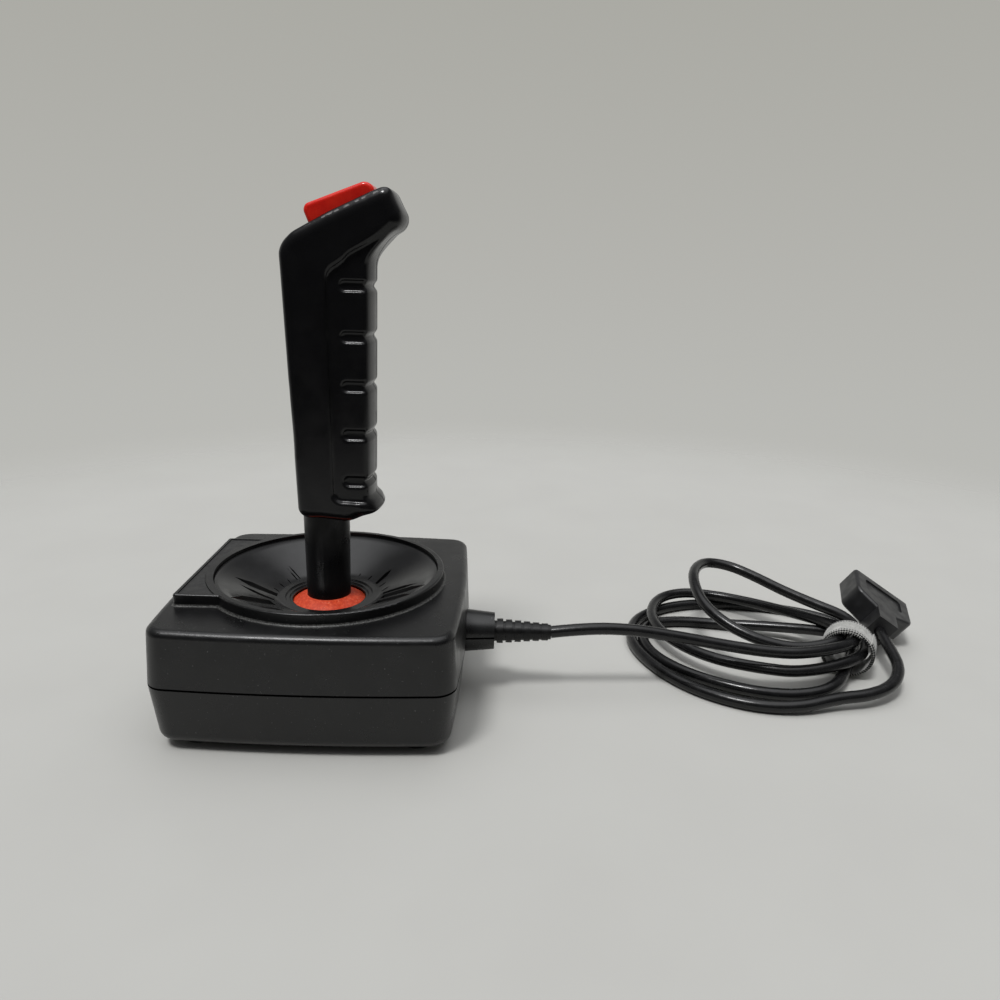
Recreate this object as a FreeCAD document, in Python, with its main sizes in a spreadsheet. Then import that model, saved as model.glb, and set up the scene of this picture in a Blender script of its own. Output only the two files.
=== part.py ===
import FreeCAD, Part
import math
import os
import Sketcher

doc = FreeCAD.newDocument("JoystickController")
sheet = doc.addObject("Spreadsheet::Sheet", "Sizes")
V = FreeCAD.Vector

# Lengths are millimetres and angles degrees.
# +Z is up, the label panel faces -Y, the cord leaves at +Y, and the stick's axis is X = Y = 0.
SIZES = {
    # Case: a square box with bowed sides, in two halves that meet at the parting height
    "case_half": 56.4,
    "side_curve": 640,
    "case_corner": 8,
    "foot_rise": 3,
    "parting_height": 25.8,
    "case_top": 47.2,
    "upper_draft": 1,
    "lower_draft": 2.3,
    "top_round": 2.6,
    "bottom_round": 4.6,
    "case_wall": 2.5,
    "parting_gap": 0.4,
    "tongue_wall": 1.1,
    "tongue_rise": 1.8,
    "seat_gap": 0.1,
    # Raised ring and label panel on the upper half
    "ring_radius": 46.4,
    "ring_rise": 4.6,
    "ring_lip": 2.5,
    "ledge_width": 2.8,
    "ledge_depth": 3.8,
    "panel_half": 32,
    "panel_margin": 6,
    "panel_border": 1.5,
    "panel_depth": 0.8,
    "panel_round": 1.2,
    "label_thickness": 0.5,
    # Bowl that drops into the ring
    "bowl_rim_drop": 1.4,
    "bowl_rim": 42.3,
    "bowl_floor_radius": 20,
    "bowl_floor_height": 40.4,
    "bowl_wall": 1.8,
    "bowl_step": 0.6,
    "middle_step_radius": 17.2,
    "inner_step_radius": 15.6,
    "opening_radius": 14.5,
    "opening_height": 38.6,
    # Stick: two crossed hinges at one pivot height
    "pivot_height": 18,
    "tilt_limit": 9,
    "dome_radius": 24.6,
    "dome_wall": 1.5,
    "dome_spread": 49,
    "shaft_radius": 8.95,
    "shaft_taper": 0.35,
    "shaft_foot": 30,
    "neck_radius": 5.5,
    "shaft_bore": 3.2,
    "cross_pin_radius": 1.5,
    "running_gap": 0.05,
    "gimbal_inner": 8,
    "gimbal_outer": 12.5,
    "gimbal_height": 5,
    "gimbal_clearance": 0.3,
    "post_reach": 17,
    "post_depth": 4,
    "post_width": 9,
    "post_cap": 4,
    # Contacts
    "board_length": 62,
    "board_width": 56,
    "board_thickness": 1.6,
    "board_rise": 0.8,
    "contact_circle": 12,
    "contact_radius": 3.2,
    "contact_rise": 0.9,
    "contact_gap": 0.15,
    "prong_radius": 1.6,
    "spider_thickness": 1.2,
    # Grip, two mirrored halves with a narrower finger side
    "grip_low": 73.2,
    "palm_low": 10.6,
    "palm_high": 14.5,
    "slope_angle": 21.8,
    "slope_middle": 9.6,
    "slope_height": 188.8,
    "finger_low": 21,
    "finger_high": 22.5,
    "lip_reach": 24.6,
    "lip_rise": 4,
    "lip_end": 9.2,
    "nose_reach": 35.1,
    "nose_drop": 6.2,
    "palm_half": 14,
    "finger_half": 12.2,
    "grip_round": 4.4,
    "foot_reach": 12.5,
    "foot_sweep": 15,
    "nose_lean": 7.5,
    "shoulder_round": 10,
    "lip_hollow": 5,
    "nose_hollow": 11.5,
    "nose_edge": 7.6,
    "grip_wall": 3.2,
    "side_wall": 2.9,
    "inset_low": 5.4,
    "inset_high": 4.5,
    "inset_drop": 11.3,
    "inset_round": 7,
    "finger_edge": 1.2,
    "first_groove": 17.3,
    "last_groove": 15.86,
    "groove_height": 4,
    "groove_depth": 1.2,
    "groove_start": 9.4,
    "notch_depth": 1.5,
    "socket_depth": 26,
    "lock_radius": 1.45,
    "middle_screw": 76.8,
    "grip_boss": 3.2,
    # Fire button on the slope
    "button_length": 26,
    "button_width": 14,
    "button_gap": 0.3,
    "button_travel": 2,
    "button_high": 4.7,
    "button_low": 4.3,
    "button_palm_round": 2.6,
    "button_nose_round": 3.6,
    "button_edge": 1.5,
    "post_size": 3.2,
    "flange_lip": 1.3,
    "flange_thickness": 1.2,
    "switch_depth": 9,
    "switch_height": 4.5,
    "switch_length": 12.8,
    "switch_width": 6.4,
    "plunger_radius": 1.5,
    "shelf_thickness": 2.5,
    # Fasteners and feet
    "screw_radius": 1.5,
    "screw_head": 3,
    "screw_place_x": 44,
    "screw_place_y": 22,
    "boss_radius": 3.6,
    "foot_radius": 6.5,
    "foot_place": 40,
    # Cord
    "cord_radius": 2.5,
    "collar_root": 8.4,
    "collar_end": 7.3,
    "collar_reach": 67.5,
    "relief_neck": 4.2,
    "rib_radius": 5,
    "rib_small": 3.5,
    "rib_pitch": 3.7,
    "rib_width": 2.5,
    "coil_x": -38.5,
    "coil_y": 187.5,
    "coil_outer": 55,
    "hole_x": -36.5,
    "hole_y": 192,
    "coil_inner": 34,
    "coil_height": 11,
    "coil_round": 4.5,
    "tie_x": -22,
    "tie_y": 225,
    "tie_heading": 152,
    "tie_radius": 11.5,
    "tie_wall": 1.4,
    "tie_width": 13,
    "plug_length": 34,
    "plug_width": 31,
    "plug_thickness": 12.5,
    "plug_x": -36.5,
    "plug_y": 245.4,
    "plug_z": 13.5,
    "boot_width": 10,
}
for row, (alias, value) in enumerate(SIZES.items(), start=1):
    sheet.set(f"A{row}", alias.replace("_", " "))
    sheet.set(f"B{row}", str(value))
    sheet.setAlias(f"B{row}", alias)
doc.recompute()


class Measure:
    """A size with its number and the sheet formula that gives it."""

    def __init__(self, value, text):
        self.value = value
        self.text = text

    def __add__(self, other):
        other = measure(other)
        return Measure(self.value + other.value, f"({self.text} + {other.text})")

    def __sub__(self, other):
        other = measure(other)
        return Measure(self.value - other.value, f"({self.text} - {other.text})")

    def __mul__(self, other):
        other = measure(other)
        return Measure(self.value * other.value, f"({self.text} * {other.text})")

    def __truediv__(self, other):
        other = measure(other)
        return Measure(self.value / other.value, f"({self.text} / {other.text})")

    def __neg__(self):
        return Measure(-self.value, f"(0 - {self.text})")

    def __radd__(self, other):
        return measure(other) + self

    def __rsub__(self, other):
        return measure(other) - self

    def __rmul__(self, other):
        return measure(other) * self


def measure(thing):
    if isinstance(thing, Measure):
        return thing
    return Measure(float(thing), f"({float(thing)!r})")


def size(alias):
    return Measure(float(sheet.get(alias)), "Sizes." + alias)


def sine(angle):
    return Measure(math.sin(math.radians(angle.value)), f"sin({angle.text})")


def cosine(angle):
    return Measure(math.cos(math.radians(angle.value)), f"cos({angle.text})")


def root(square):
    return Measure(math.sqrt(square.value), f"sqrt({square.text})")


def bind(thing, property_name, amount):
    thing.setExpression(property_name, measure(amount).text)


# Helpers that draw sketches with every point tied to the sheet

def new_body(label):
    body = doc.addObject("PartDesign::Body", label)
    body.Label = label
    return body


def new_sketch(body, name, role, offset=0):
    drawing = body.newObject("Sketcher::SketchObject", name)
    plane = [item for item in body.Origin.OriginFeatures if item.Role == role][0]
    drawing.AttachmentSupport = [(plane, "")]
    drawing.MapMode = "FlatFace"
    bind(drawing, "AttachmentOffset.Base.z", offset)
    return drawing


def tie_down(drawing, kind, amount, *where):
    index = drawing.addConstraint(Sketcher.Constraint(kind, *where, measure(amount).value))
    bind(drawing, f"Constraints[{index}]", amount)


def place_point(drawing, geometry, end, x, y):
    tie_down(drawing, "DistanceX", x, -1, 1, geometry, end)
    tie_down(drawing, "DistanceY", y, -1, 1, geometry, end)


def draw_circle(drawing, x, y, radius):
    centre = V(measure(x).value, measure(y).value, 0)
    index = drawing.addGeometry(Part.Circle(centre, V(0, 0, 1), measure(radius).value))
    place_point(drawing, index, 3, x, y)
    tie_down(drawing, "Radius", radius, index)


def corner_cut(before, corner, after, radius):
    """Where an arc of this radius leaves the two lines that meet at the corner, and its centre."""
    to_before = (before - corner).normalize()
    to_after = (after - corner).normalize()
    half_angle = to_before.getAngle(to_after) / 2
    reach = radius / math.tan(half_angle)
    middle = (to_before + to_after).normalize()
    centre = corner + middle * (radius / math.sin(half_angle))
    return corner + to_before * reach, corner + to_after * reach, centre


def arc_between(start, end, centre):
    radius = (start - centre).Length
    turn = (start - centre).cross(end - centre).z
    first, last = (start, end) if turn > 0 else (end, start)
    from_angle = math.atan2(first.y - centre.y, first.x - centre.x)
    to_angle = math.atan2(last.y - centre.y, last.x - centre.x)
    if to_angle < from_angle:
        to_angle += 2 * math.pi
    return Part.ArcOfCircle(Part.Circle(centre, V(0, 0, 1), radius), from_angle, to_angle), turn > 0


def draw_loop(drawing, corners):
    """Draws a closed loop of straight sides; a corner (x, y, radius) is rounded."""
    points = [V(measure(c[0]).value, measure(c[1]).value, 0) for c in corners]
    count = len(corners)
    cuts = []
    for index, corner in enumerate(corners):
        before, after = points[index - 1], points[(index + 1) % count]
        if len(corner) == 3:
            cuts.append(corner_cut(before, points[index], after, measure(corner[2]).value))
        else:
            cuts.append((points[index], points[index], None))
    sides = []
    for index in range(count):
        line = Part.LineSegment(cuts[index][1], cuts[(index + 1) % count][0])
        sides.append(drawing.addGeometry(line))
    for index, corner in enumerate(corners):
        incoming, outgoing = sides[index - 1], sides[index]
        start, end, centre = cuts[index]
        if centre is None:
            drawing.addConstraint(Sketcher.Constraint("Coincident", incoming, 2, outgoing, 1))
            place_point(drawing, outgoing, 1, corner[0], corner[1])
            continue
        arc, forward = arc_between(start, end, centre)
        curve = drawing.addGeometry(arc)
        near, far = (1, 2) if forward else (2, 1)
        drawing.addConstraint(Sketcher.Constraint("Tangent", incoming, 2, curve, near))
        drawing.addConstraint(Sketcher.Constraint("Tangent", outgoing, 1, curve, far))
        tie_down(drawing, "Radius", corner[2], curve)
        mark = drawing.addGeometry(Part.Point(points[index]), True)
        drawing.addConstraint(Sketcher.Constraint("PointOnObject", mark, 1, incoming))
        drawing.addConstraint(Sketcher.Constraint("PointOnObject", mark, 1, outgoing))
        place_point(drawing, mark, 1, corner[0], corner[1])


def draw_box(drawing, low_x, high_x, low_y, high_y):
    draw_loop(drawing, [(low_x, low_y), (high_x, low_y), (high_x, high_y), (low_x, high_y)])


def draw_case_outline(drawing, half):
    """A square whose sides bow outwards on a large arc and meet in round corners."""
    side = size("side_curve")
    corner = size("case_corner")
    side_centre = half - side
    reach = side - corner
    corner_centre = (side_centre + root(2 * reach * reach - side_centre * side_centre)) / 2
    along = side_centre + (corner_centre - side_centre) * side / reach
    across = corner_centre * side / reach
    ends = []
    for turn in range(4):
        quarter = FreeCAD.Rotation(V(0, 0, 1), 90 * turn)

        def spun(x, y):
            return quarter.multVec(V(x.value, y.value, 0))

        start, end = spun(along, -across), spun(along, across)
        following = spun(across, along)
        middle = quarter.multVec(V(side_centre.value, 0, 0))
        bend = quarter.multVec(V(corner_centre.value, corner_centre.value, 0))
        ends.append(drawing.addGeometry(arc_between(start, end, middle)[0]))
        ends.append(drawing.addGeometry(arc_between(end, following, bend)[0]))
        signs = [(1, 0), (0, 1), (-1, 0), (0, -1)][turn]
        place_point(drawing, ends[-2], 3, side_centre * signs[0], side_centre * signs[1])
        tie_down(drawing, "Radius", side, ends[-2])
        tie_down(drawing, "Radius", corner, ends[-1])
    for index in range(8):
        join = Sketcher.Constraint("Tangent", ends[index], 2, ends[(index + 1) % 8], 1)
        drawing.addConstraint(join)


# Helpers that make features

def pad(body, drawing, length, name, reverse=False):
    feature = body.newObject("PartDesign::Pad", name)
    feature.Profile = drawing
    bind(feature, "Length", length)
    feature.Reversed = reverse
    return feature


def pocket(body, drawing, length, name, reverse=False):
    feature = body.newObject("PartDesign::Pocket", name)
    feature.Profile = drawing
    bind(feature, "Length", length)
    feature.Reversed = reverse
    return feature


def loft(body, kind, drawings, name):
    feature = body.newObject("PartDesign::" + kind, name)
    feature.Profile = drawings[0]
    feature.Sections = drawings[1:]
    feature.Ruled = True
    return feature


def revolve(body, drawing, name, axis="V_Axis", angle=360, reverse=False, kind="Revolution"):
    feature = body.newObject("PartDesign::" + kind, name)
    feature.Profile = drawing
    feature.ReferenceAxis = (drawing, [axis])
    feature.Angle = angle
    feature.Reversed = reverse
    return feature


def round_edges(body, base, radius, name, chosen, kind="Fillet"):
    """Rounds the edges of base for which chosen(middle point, box) is true."""
    doc.recompute()
    names = []
    for index, edge in enumerate(base.Shape.Edges, start=1):
        if chosen(edge.CenterOfMass, edge.BoundBox):
            names.append(f"Edge{index}")
    feature = body.newObject("PartDesign::" + kind, name)
    feature.Base = (base, names)
    bind(feature, "Radius" if kind == "Fillet" else "Size", radius)
    return feature


def cylinder(name, radius, height, place=(0, 0, 0), axis=V(0, 0, 1)):
    """A cylinder whose base centre is at place and which runs along axis."""
    shape = doc.addObject("Part::Cylinder", name)
    bind(shape, "Radius", radius)
    bind(shape, "Height", height)
    shape.Placement = FreeCAD.Placement(V(0, 0, 0), FreeCAD.Rotation(V(0, 0, 1), axis))
    for letter, amount in zip("xyz", place):
        bind(shape, f"Placement.Base.{letter}", amount)
    return shape


def box(name, length, width, height, place):
    """A box centred in X and Y on place, standing on its height."""
    shape = doc.addObject("Part::Box", name)
    bind(shape, "Length", length)
    bind(shape, "Width", width)
    bind(shape, "Height", height)
    bind(shape, "Placement.Base.x", place[0] - measure(length) / 2)
    bind(shape, "Placement.Base.y", place[1] - measure(width) / 2)
    bind(shape, "Placement.Base.z", place[2])
    return shape


def join(name, shapes):
    whole = doc.addObject("Part::MultiFuse", name)
    whole.Shapes = shapes
    return whole


def cut(name, base, tool):
    whole = doc.addObject("Part::Cut", name)
    whole.Base = base
    whole.Tool = tool
    return whole


def group(name, shapes):
    whole = doc.addObject("Part::Compound", name)
    whole.Links = shapes
    return whole


nodes = []


def keep(shape, label):
    shape.Label = label
    nodes.append(shape)
    return shape


corner_signs = [(1, 1), (-1, 1), (-1, -1), (1, -1)]
parting = size("parting_height")
half_gap = size("parting_gap") / 2
case_half = size("case_half")
case_wall = size("case_wall")
case_top = size("case_top")
foot_rise = size("foot_rise")
pivot = size("pivot_height")
ring_top = case_top + size("ring_rise")
bore_radius = size("ring_radius") - size("ring_lip")
floor_top = foot_rise + case_wall
screw_x = size("screw_place_x")
screw_y = size("screw_place_y")
wall_inside = case_half - case_wall


def half_collar(body, height, reverse):
    """Adds one half of the round collar that the cord leaves through, and its bore."""
    collar = new_sketch(body, "collar", "XY_Plane", height)
    inner = wall_inside - 1
    reach = size("collar_reach")
    collar_root = size("collar_root")
    draw_loop(collar, [(0, inner), (collar_root, inner), (collar_root, case_half),
                       (size("collar_end"), reach), (0, reach)])
    revolve(body, collar, "collar_half", angle=180, reverse=reverse)
    bore = new_sketch(body, "collar_bore", "XY_Plane", height)
    bore_size = size("relief_neck") + size("seat_gap")
    draw_box(bore, 0, bore_size, inner - 3, reach + 1)
    revolve(body, bore, "collar_bore_cut", kind="Groove")


# Lower half of the case
lower = new_body("lower_case")
low_top = parting - half_gap
rim = new_sketch(lower, "rim", "XY_Plane", low_top)
draw_case_outline(rim, case_half)
base = new_sketch(lower, "base", "XY_Plane", foot_rise)
draw_case_outline(base, case_half - size("lower_draft"))
shell = loft(lower, "AdditiveLoft", [rim, base], "outer_form")
bottom_height = foot_rise.value
rounded = round_edges(lower, shell, size("bottom_round"), "bottom_edge",
                      lambda middle, around: around.ZMax < bottom_height + 0.01)
hollow_rim = new_sketch(lower, "hollow_rim", "XY_Plane", low_top)
draw_case_outline(hollow_rim, wall_inside)
hollow_floor = new_sketch(lower, "hollow_floor", "XY_Plane", floor_top)
draw_case_outline(hollow_floor, wall_inside - size("lower_draft") - 0.5)
loft(lower, "SubtractiveLoft", [hollow_rim, hollow_floor], "hollow")
tongue = new_sketch(lower, "tongue", "XY_Plane", low_top - 2)
draw_case_outline(tongue, wall_inside + size("tongue_wall"))
draw_case_outline(tongue, wall_inside - 0.02)
pad(lower, tongue, size("tongue_rise") + 2, "tongue_ring")
pillars = new_sketch(lower, "pillars", "XY_Plane", floor_top - 0.5)
for side_x, side_y in corner_signs:
    draw_circle(pillars, screw_x * side_x, screw_y * side_y, size("boss_radius"))
pad(lower, pillars, low_top - floor_top + 0.5, "screw_pillars")
posts = new_sketch(lower, "posts", "XY_Plane", floor_top - 0.5)
post_near = size("post_reach")
post_far = post_near + size("post_depth")
post_half = size("post_width") / 2
draw_box(posts, post_near, post_far, -post_half, post_half)
draw_box(posts, -post_far, -post_near, -post_half, post_half)
pad(lower, posts, pivot + size("post_cap") - floor_top + 0.5, "pivot_posts")
standoffs = new_sketch(lower, "standoffs", "XY_Plane", floor_top - 0.5)
board_screw_x = size("board_length") / 2 - 4.5
board_screw_y = size("board_width") / 2 - 4.5
for side_x, side_y in corner_signs:
    draw_circle(standoffs, board_screw_x * side_x, board_screw_y * side_y, 3)
pad(lower, standoffs, size("board_rise") + 0.5, "board_standoffs")
half_collar(lower, low_top, False)
heads = new_sketch(lower, "screw_heads", "XY_Plane", foot_rise)
head_depth = parting - foot_rise - 9
for side_x, side_y in corner_signs:
    draw_circle(heads, screw_x * side_x, screw_y * side_y, size("screw_head") + 0.3)
pocket(lower, heads, head_depth, "screw_wells", True)
shanks = new_sketch(lower, "screw_shanks", "XY_Plane", foot_rise)
for side_x, side_y in corner_signs:
    draw_circle(shanks, screw_x * side_x, screw_y * side_y, size("screw_radius") + 0.2)
pocket(lower, shanks, parting, "screw_holes", True)
pilots = new_sketch(lower, "board_pilots", "XY_Plane", floor_top + size("board_rise"))
for side_x, side_y in corner_signs:
    draw_circle(pilots, board_screw_x * side_x, board_screw_y * side_y, 1.1)
pocket(lower, pilots, size("board_rise") + 1.5, "board_pilot_holes")
sockets = new_sketch(lower, "trunnion_holes", "YZ_Plane", -post_far - 1)
draw_circle(sockets, 0, pivot, size("cross_pin_radius") + size("running_gap"))
pocket(lower, sockets, post_far * 2 + 2, "trunnion_bores", True)
keep(lower, "lower_case")

# Upper half of the case, with the raised ring and the label panel
upper = new_body("upper_case")
high_bottom = parting + half_gap
skirt = new_sketch(upper, "skirt", "XY_Plane", high_bottom)
draw_case_outline(skirt, case_half)
crown = new_sketch(upper, "crown", "XY_Plane", case_top)
draw_case_outline(crown, case_half - size("upper_draft"))
upper_form = loft(upper, "AdditiveLoft", [crown, skirt], "outer_form")
top_height = case_top.value
round_edges(upper, upper_form, size("top_round"), "top_edge",
            lambda middle, around: around.ZMin > top_height - 0.01)
ring = new_sketch(upper, "ring", "XY_Plane", case_top - 1)
draw_circle(ring, 0, 0, size("ring_radius"))
pad(upper, ring, size("ring_rise") + 1, "raised_ring")
panel = new_sketch(upper, "panel", "XY_Plane", case_top - 1)
panel_half = size("panel_half")
panel_reach = case_half - size("panel_margin")
panel_round = size("panel_round")
draw_loop(panel, [(-panel_half, -panel_reach, panel_round), (panel_half, -panel_reach, panel_round),
                  (panel_half, -20), (-panel_half, -20)])
raised = pad(upper, panel, size("ring_rise") + 1, "raised_panel")
ring_height = ring_top.value
round_edges(upper, raised, 0.7, "ring_edge",
            lambda middle, around: around.ZMin > ring_height - 0.01)
recess = new_sketch(upper, "recess", "XY_Plane", ring_top)
recess_half = panel_half - size("panel_border")
recess_reach = panel_reach - size("panel_border")
ring_shoulder = size("ring_radius") + 0.3


def draw_label_outline(drawing, inset):
    """The strip between the panel's straight edges and the ring's round shoulder."""
    side = recess_half - inset
    edge = recess_reach - inset
    curve = ring_shoulder + inset
    meeting = root(curve * curve - side * side)
    left, right = V(-side.value, -meeting.value, 0), V(side.value, -meeting.value, 0)
    corners = [(-side, -edge), (side, -edge), (side, -meeting), (-side, -meeting)]
    spots = [V(x.value, y.value, 0) for x, y in corners]
    lines = []
    for first, last in ((3, 0), (0, 1), (1, 2)):
        lines.append(drawing.addGeometry(Part.LineSegment(spots[first], spots[last])))
    shoulder = drawing.addGeometry(arc_between(left, right, V(0, 0, 0))[0])
    for before, after in zip(lines, lines[1:]):
        drawing.addConstraint(Sketcher.Constraint("Coincident", before, 2, after, 1))
    drawing.addConstraint(Sketcher.Constraint("Coincident", lines[2], 2, shoulder, 2))
    drawing.addConstraint(Sketcher.Constraint("Coincident", lines[0], 1, shoulder, 1))
    place_point(drawing, lines[1], 1, *corners[0])
    place_point(drawing, lines[1], 2, *corners[1])
    place_point(drawing, lines[2], 2, *corners[2])
    place_point(drawing, lines[0], 1, *corners[3])
    tie_down(drawing, "Radius", curve, shoulder)


draw_label_outline(recess, measure(0))
pocket(upper, recess, size("panel_depth"), "label_recess")
cavity_low = new_sketch(upper, "cavity_low", "XY_Plane", high_bottom)
draw_case_outline(cavity_low, wall_inside)
cavity_high = new_sketch(upper, "cavity_high", "XY_Plane", case_top - case_wall)
draw_case_outline(cavity_high, wall_inside - size("upper_draft"))
loft(upper, "SubtractiveLoft", [cavity_low, cavity_high], "cavity")
mouth = new_sketch(upper, "mouth", "XY_Plane", ring_top)
draw_circle(mouth, 0, 0, bore_radius)
pocket(upper, mouth, size("ledge_depth"), "bowl_seat")
throat = new_sketch(upper, "throat", "XY_Plane", ring_top)
draw_circle(throat, 0, 0, bore_radius - size("ledge_width"))
pocket(upper, throat, size("ledge_depth") + 6, "bowl_opening")
upper_pillars = new_sketch(upper, "pillars", "XY_Plane", high_bottom)
for side_x, side_y in corner_signs:
    draw_circle(upper_pillars, screw_x * side_x, screw_y * side_y, size("boss_radius"))
pad(upper, upper_pillars, case_top - case_wall - high_bottom + 0.5, "screw_pillars")
half_collar(upper, high_bottom, True)
rebate = new_sketch(upper, "rebate", "XY_Plane", high_bottom)
draw_case_outline(rebate, wall_inside + size("tongue_wall") + size("seat_gap"))
draw_case_outline(rebate, wall_inside - 0.5)
pocket(upper, rebate, size("tongue_rise"), "tongue_rebate", True)
screw_reach = 8
upper_pilots = new_sketch(upper, "screw_pilots", "XY_Plane", high_bottom)
for side_x, side_y in corner_signs:
    draw_circle(upper_pilots, screw_x * side_x, screw_y * side_y, size("screw_radius") + 0.05)
pocket(upper, upper_pilots, screw_reach + 1, "screw_pilot_holes", True)
keep(upper, "upper_case")

# Bare label strip in the panel
label = new_body("label_panel")
strip = new_sketch(label, "strip", "XY_Plane", ring_top - size("panel_depth"))
draw_label_outline(strip, measure(0.15))
pad(label, strip, size("label_thickness"), "strip_pad")
keep(label, "label_panel")

# Bowl with its stepped floor
bowl = new_body("bowl_insert")
bowl_section = new_sketch(bowl, "section", "XZ_Plane")
rim_top = ring_top - size("bowl_rim_drop")
rim_edge = bore_radius - size("seat_gap")
ledge_top = ring_top - size("ledge_depth") + 0.02
throat_radius = bore_radius - size("ledge_width") - 0.2
step = size("bowl_step")
floor_height = size("bowl_floor_height")
bowl_under = size("bowl_floor_radius") + 0.6
throat_floor = floor_height + (ring_top - size("bowl_rim_drop") - floor_height) * 0.93 - size("bowl_wall") - 0.6
draw_loop(bowl_section, [
    (size("opening_radius"), size("opening_height")),
    (bowl_under, size("opening_height")),
    (throat_radius, throat_floor),
    (throat_radius, ledge_top),
    (rim_edge, ledge_top),
    (rim_edge, rim_top),
    (size("bowl_rim"), rim_top),
    (size("bowl_floor_radius"), floor_height),
    (size("middle_step_radius"), floor_height),
    (size("middle_step_radius"), floor_height - step),
    (size("inner_step_radius"), floor_height - step),
    (size("inner_step_radius"), floor_height - step * 2),
    (size("opening_radius"), floor_height - step * 2),
])
revolve(bowl, bowl_section, "bowl_form")
keep(bowl, "bowl_insert")

# Rubber feet
feet = []
for number, (side_x, side_y) in enumerate(corner_signs):
    place = (size("foot_place") * side_x, size("foot_place") * side_y, 0)
    feet.append(cylinder(f"foot_{number}", size("foot_radius"), foot_rise, place))
keep(group("feet_group", feet), "rubber_feet")


def screw(name, place, shank, head_height, axis=V(0, 0, 1), radius=size("screw_radius"), head=size("screw_head")):
    """A pan-head screw whose head starts at place and whose shank runs on along axis."""
    head_part = cylinder(name + "_head", head, head_height, place, axis)
    shank_part = cylinder(name + "_shank", radius, measure(shank) + head_height, place, axis)
    return join(name, [head_part, shank_part])


head_height = 2
well_top = foot_rise + head_depth
case_screws = []
for number, (side_x, side_y) in enumerate(corner_signs):
    place = (screw_x * side_x, screw_y * side_y, well_top - head_height)
    case_screws.append(screw(f"case_screw_{number}", place, high_bottom + screw_reach - well_top, head_height))
keep(group("case_screw_group", case_screws), "case_screws")

# Circuit board with its four snap domes
board_low = floor_top + size("board_rise")
board_high = board_low + size("board_thickness")
board_body = new_body("circuit_board")
board_plan = new_sketch(board_body, "plan", "XY_Plane", board_low)
board_x = size("board_length") / 2
board_y = size("board_width") / 2
draw_box(board_plan, -board_x, board_x, -board_y, board_y)
draw_box(board_plan, post_near - 0.5, post_far + 0.5, -post_half - 0.5, post_half + 0.5)
draw_box(board_plan, -post_far - 0.5, -post_near + 0.5, -post_half - 0.5, post_half + 0.5)
for side_x, side_y in corner_signs:
    draw_circle(board_plan, board_screw_x * side_x, board_screw_y * side_y, 1.3)
pad(board_body, board_plan, size("board_thickness"), "board_plate")
keep(board_body, "circuit_board")

board_screws = []
for number, (side_x, side_y) in enumerate(corner_signs):
    place = (board_screw_x * side_x, board_screw_y * side_y, board_high + 1.4)
    board_screws.append(screw(f"board_screw_{number}", place, board_high - floor_top + 0.9, 1.4,
                              V(0, 0, -1), measure(1.05), measure(2.2)))
keep(group("board_screw_group", board_screws), "board_screws")

compass = [(1, 0), (0, 1), (-1, 0), (0, -1)]
domes = []
dome_ball = (size("contact_radius") * size("contact_radius") + size("contact_rise") * size("contact_rise")) \
    / (size("contact_rise") * 2)
for number, (side_x, side_y) in enumerate(compass):
    ball = doc.addObject("Part::Sphere", f"snap_dome_{number}")
    bind(ball, "Radius", dome_ball)
    ball.Angle1 = 90 - math.degrees(math.asin((size("contact_radius") / dome_ball).value))
    bind(ball, "Angle1", Measure(0, f"(90 - asin({(size('contact_radius') / dome_ball).text}) / 1deg * 1)"))
    ball.Angle2 = 90
    bind(ball, "Placement.Base.x", size("contact_circle") * side_x)
    bind(ball, "Placement.Base.y", size("contact_circle") * side_y)
    bind(ball, "Placement.Base.z", board_high + size("contact_rise") - dome_ball)
    domes.append(ball)
keep(group("snap_dome_group", domes), "snap_domes")

# Gimbal: a ring on two trunnions along X that carries the cross pin along Y
gimbal = new_body("gimbal_ring")
half_ring = size("gimbal_height") / 2
ring_plan = new_sketch(gimbal, "plan", "XY_Plane", pivot - half_ring)
draw_circle(ring_plan, 0, 0, size("gimbal_outer"))
draw_circle(ring_plan, 0, 0, size("gimbal_inner"))
pad(gimbal, ring_plan, size("gimbal_height"), "ring_pad")
trunnion_seat = new_sketch(gimbal, "trunnion_seat", "YZ_Plane", -size("gimbal_outer") - 1)
draw_circle(trunnion_seat, 0, pivot, size("cross_pin_radius"))
pocket(gimbal, trunnion_seat, size("gimbal_outer") * 2 + 2, "trunnion_seats", True)
pin_seat = new_sketch(gimbal, "pin_seat", "XZ_Plane", -size("gimbal_outer") - 1)
draw_circle(pin_seat, 0, pivot, size("cross_pin_radius") + size("running_gap"))
pocket(gimbal, pin_seat, size("gimbal_outer") * 2 + 2, "pin_seats", True)
keep(gimbal, "gimbal_ring")
pin_start = size("gimbal_inner") + 0.5
trunnions = []
for number, side_x in enumerate((1, -1)):
    trunnions.append(cylinder(f"trunnion_{number}", size("cross_pin_radius"), post_far - pin_start,
                              (pin_start * side_x, 0, pivot), V(side_x, 0, 0)))
keep(group("trunnion_group", trunnions), "trunnion_pins")

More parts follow.
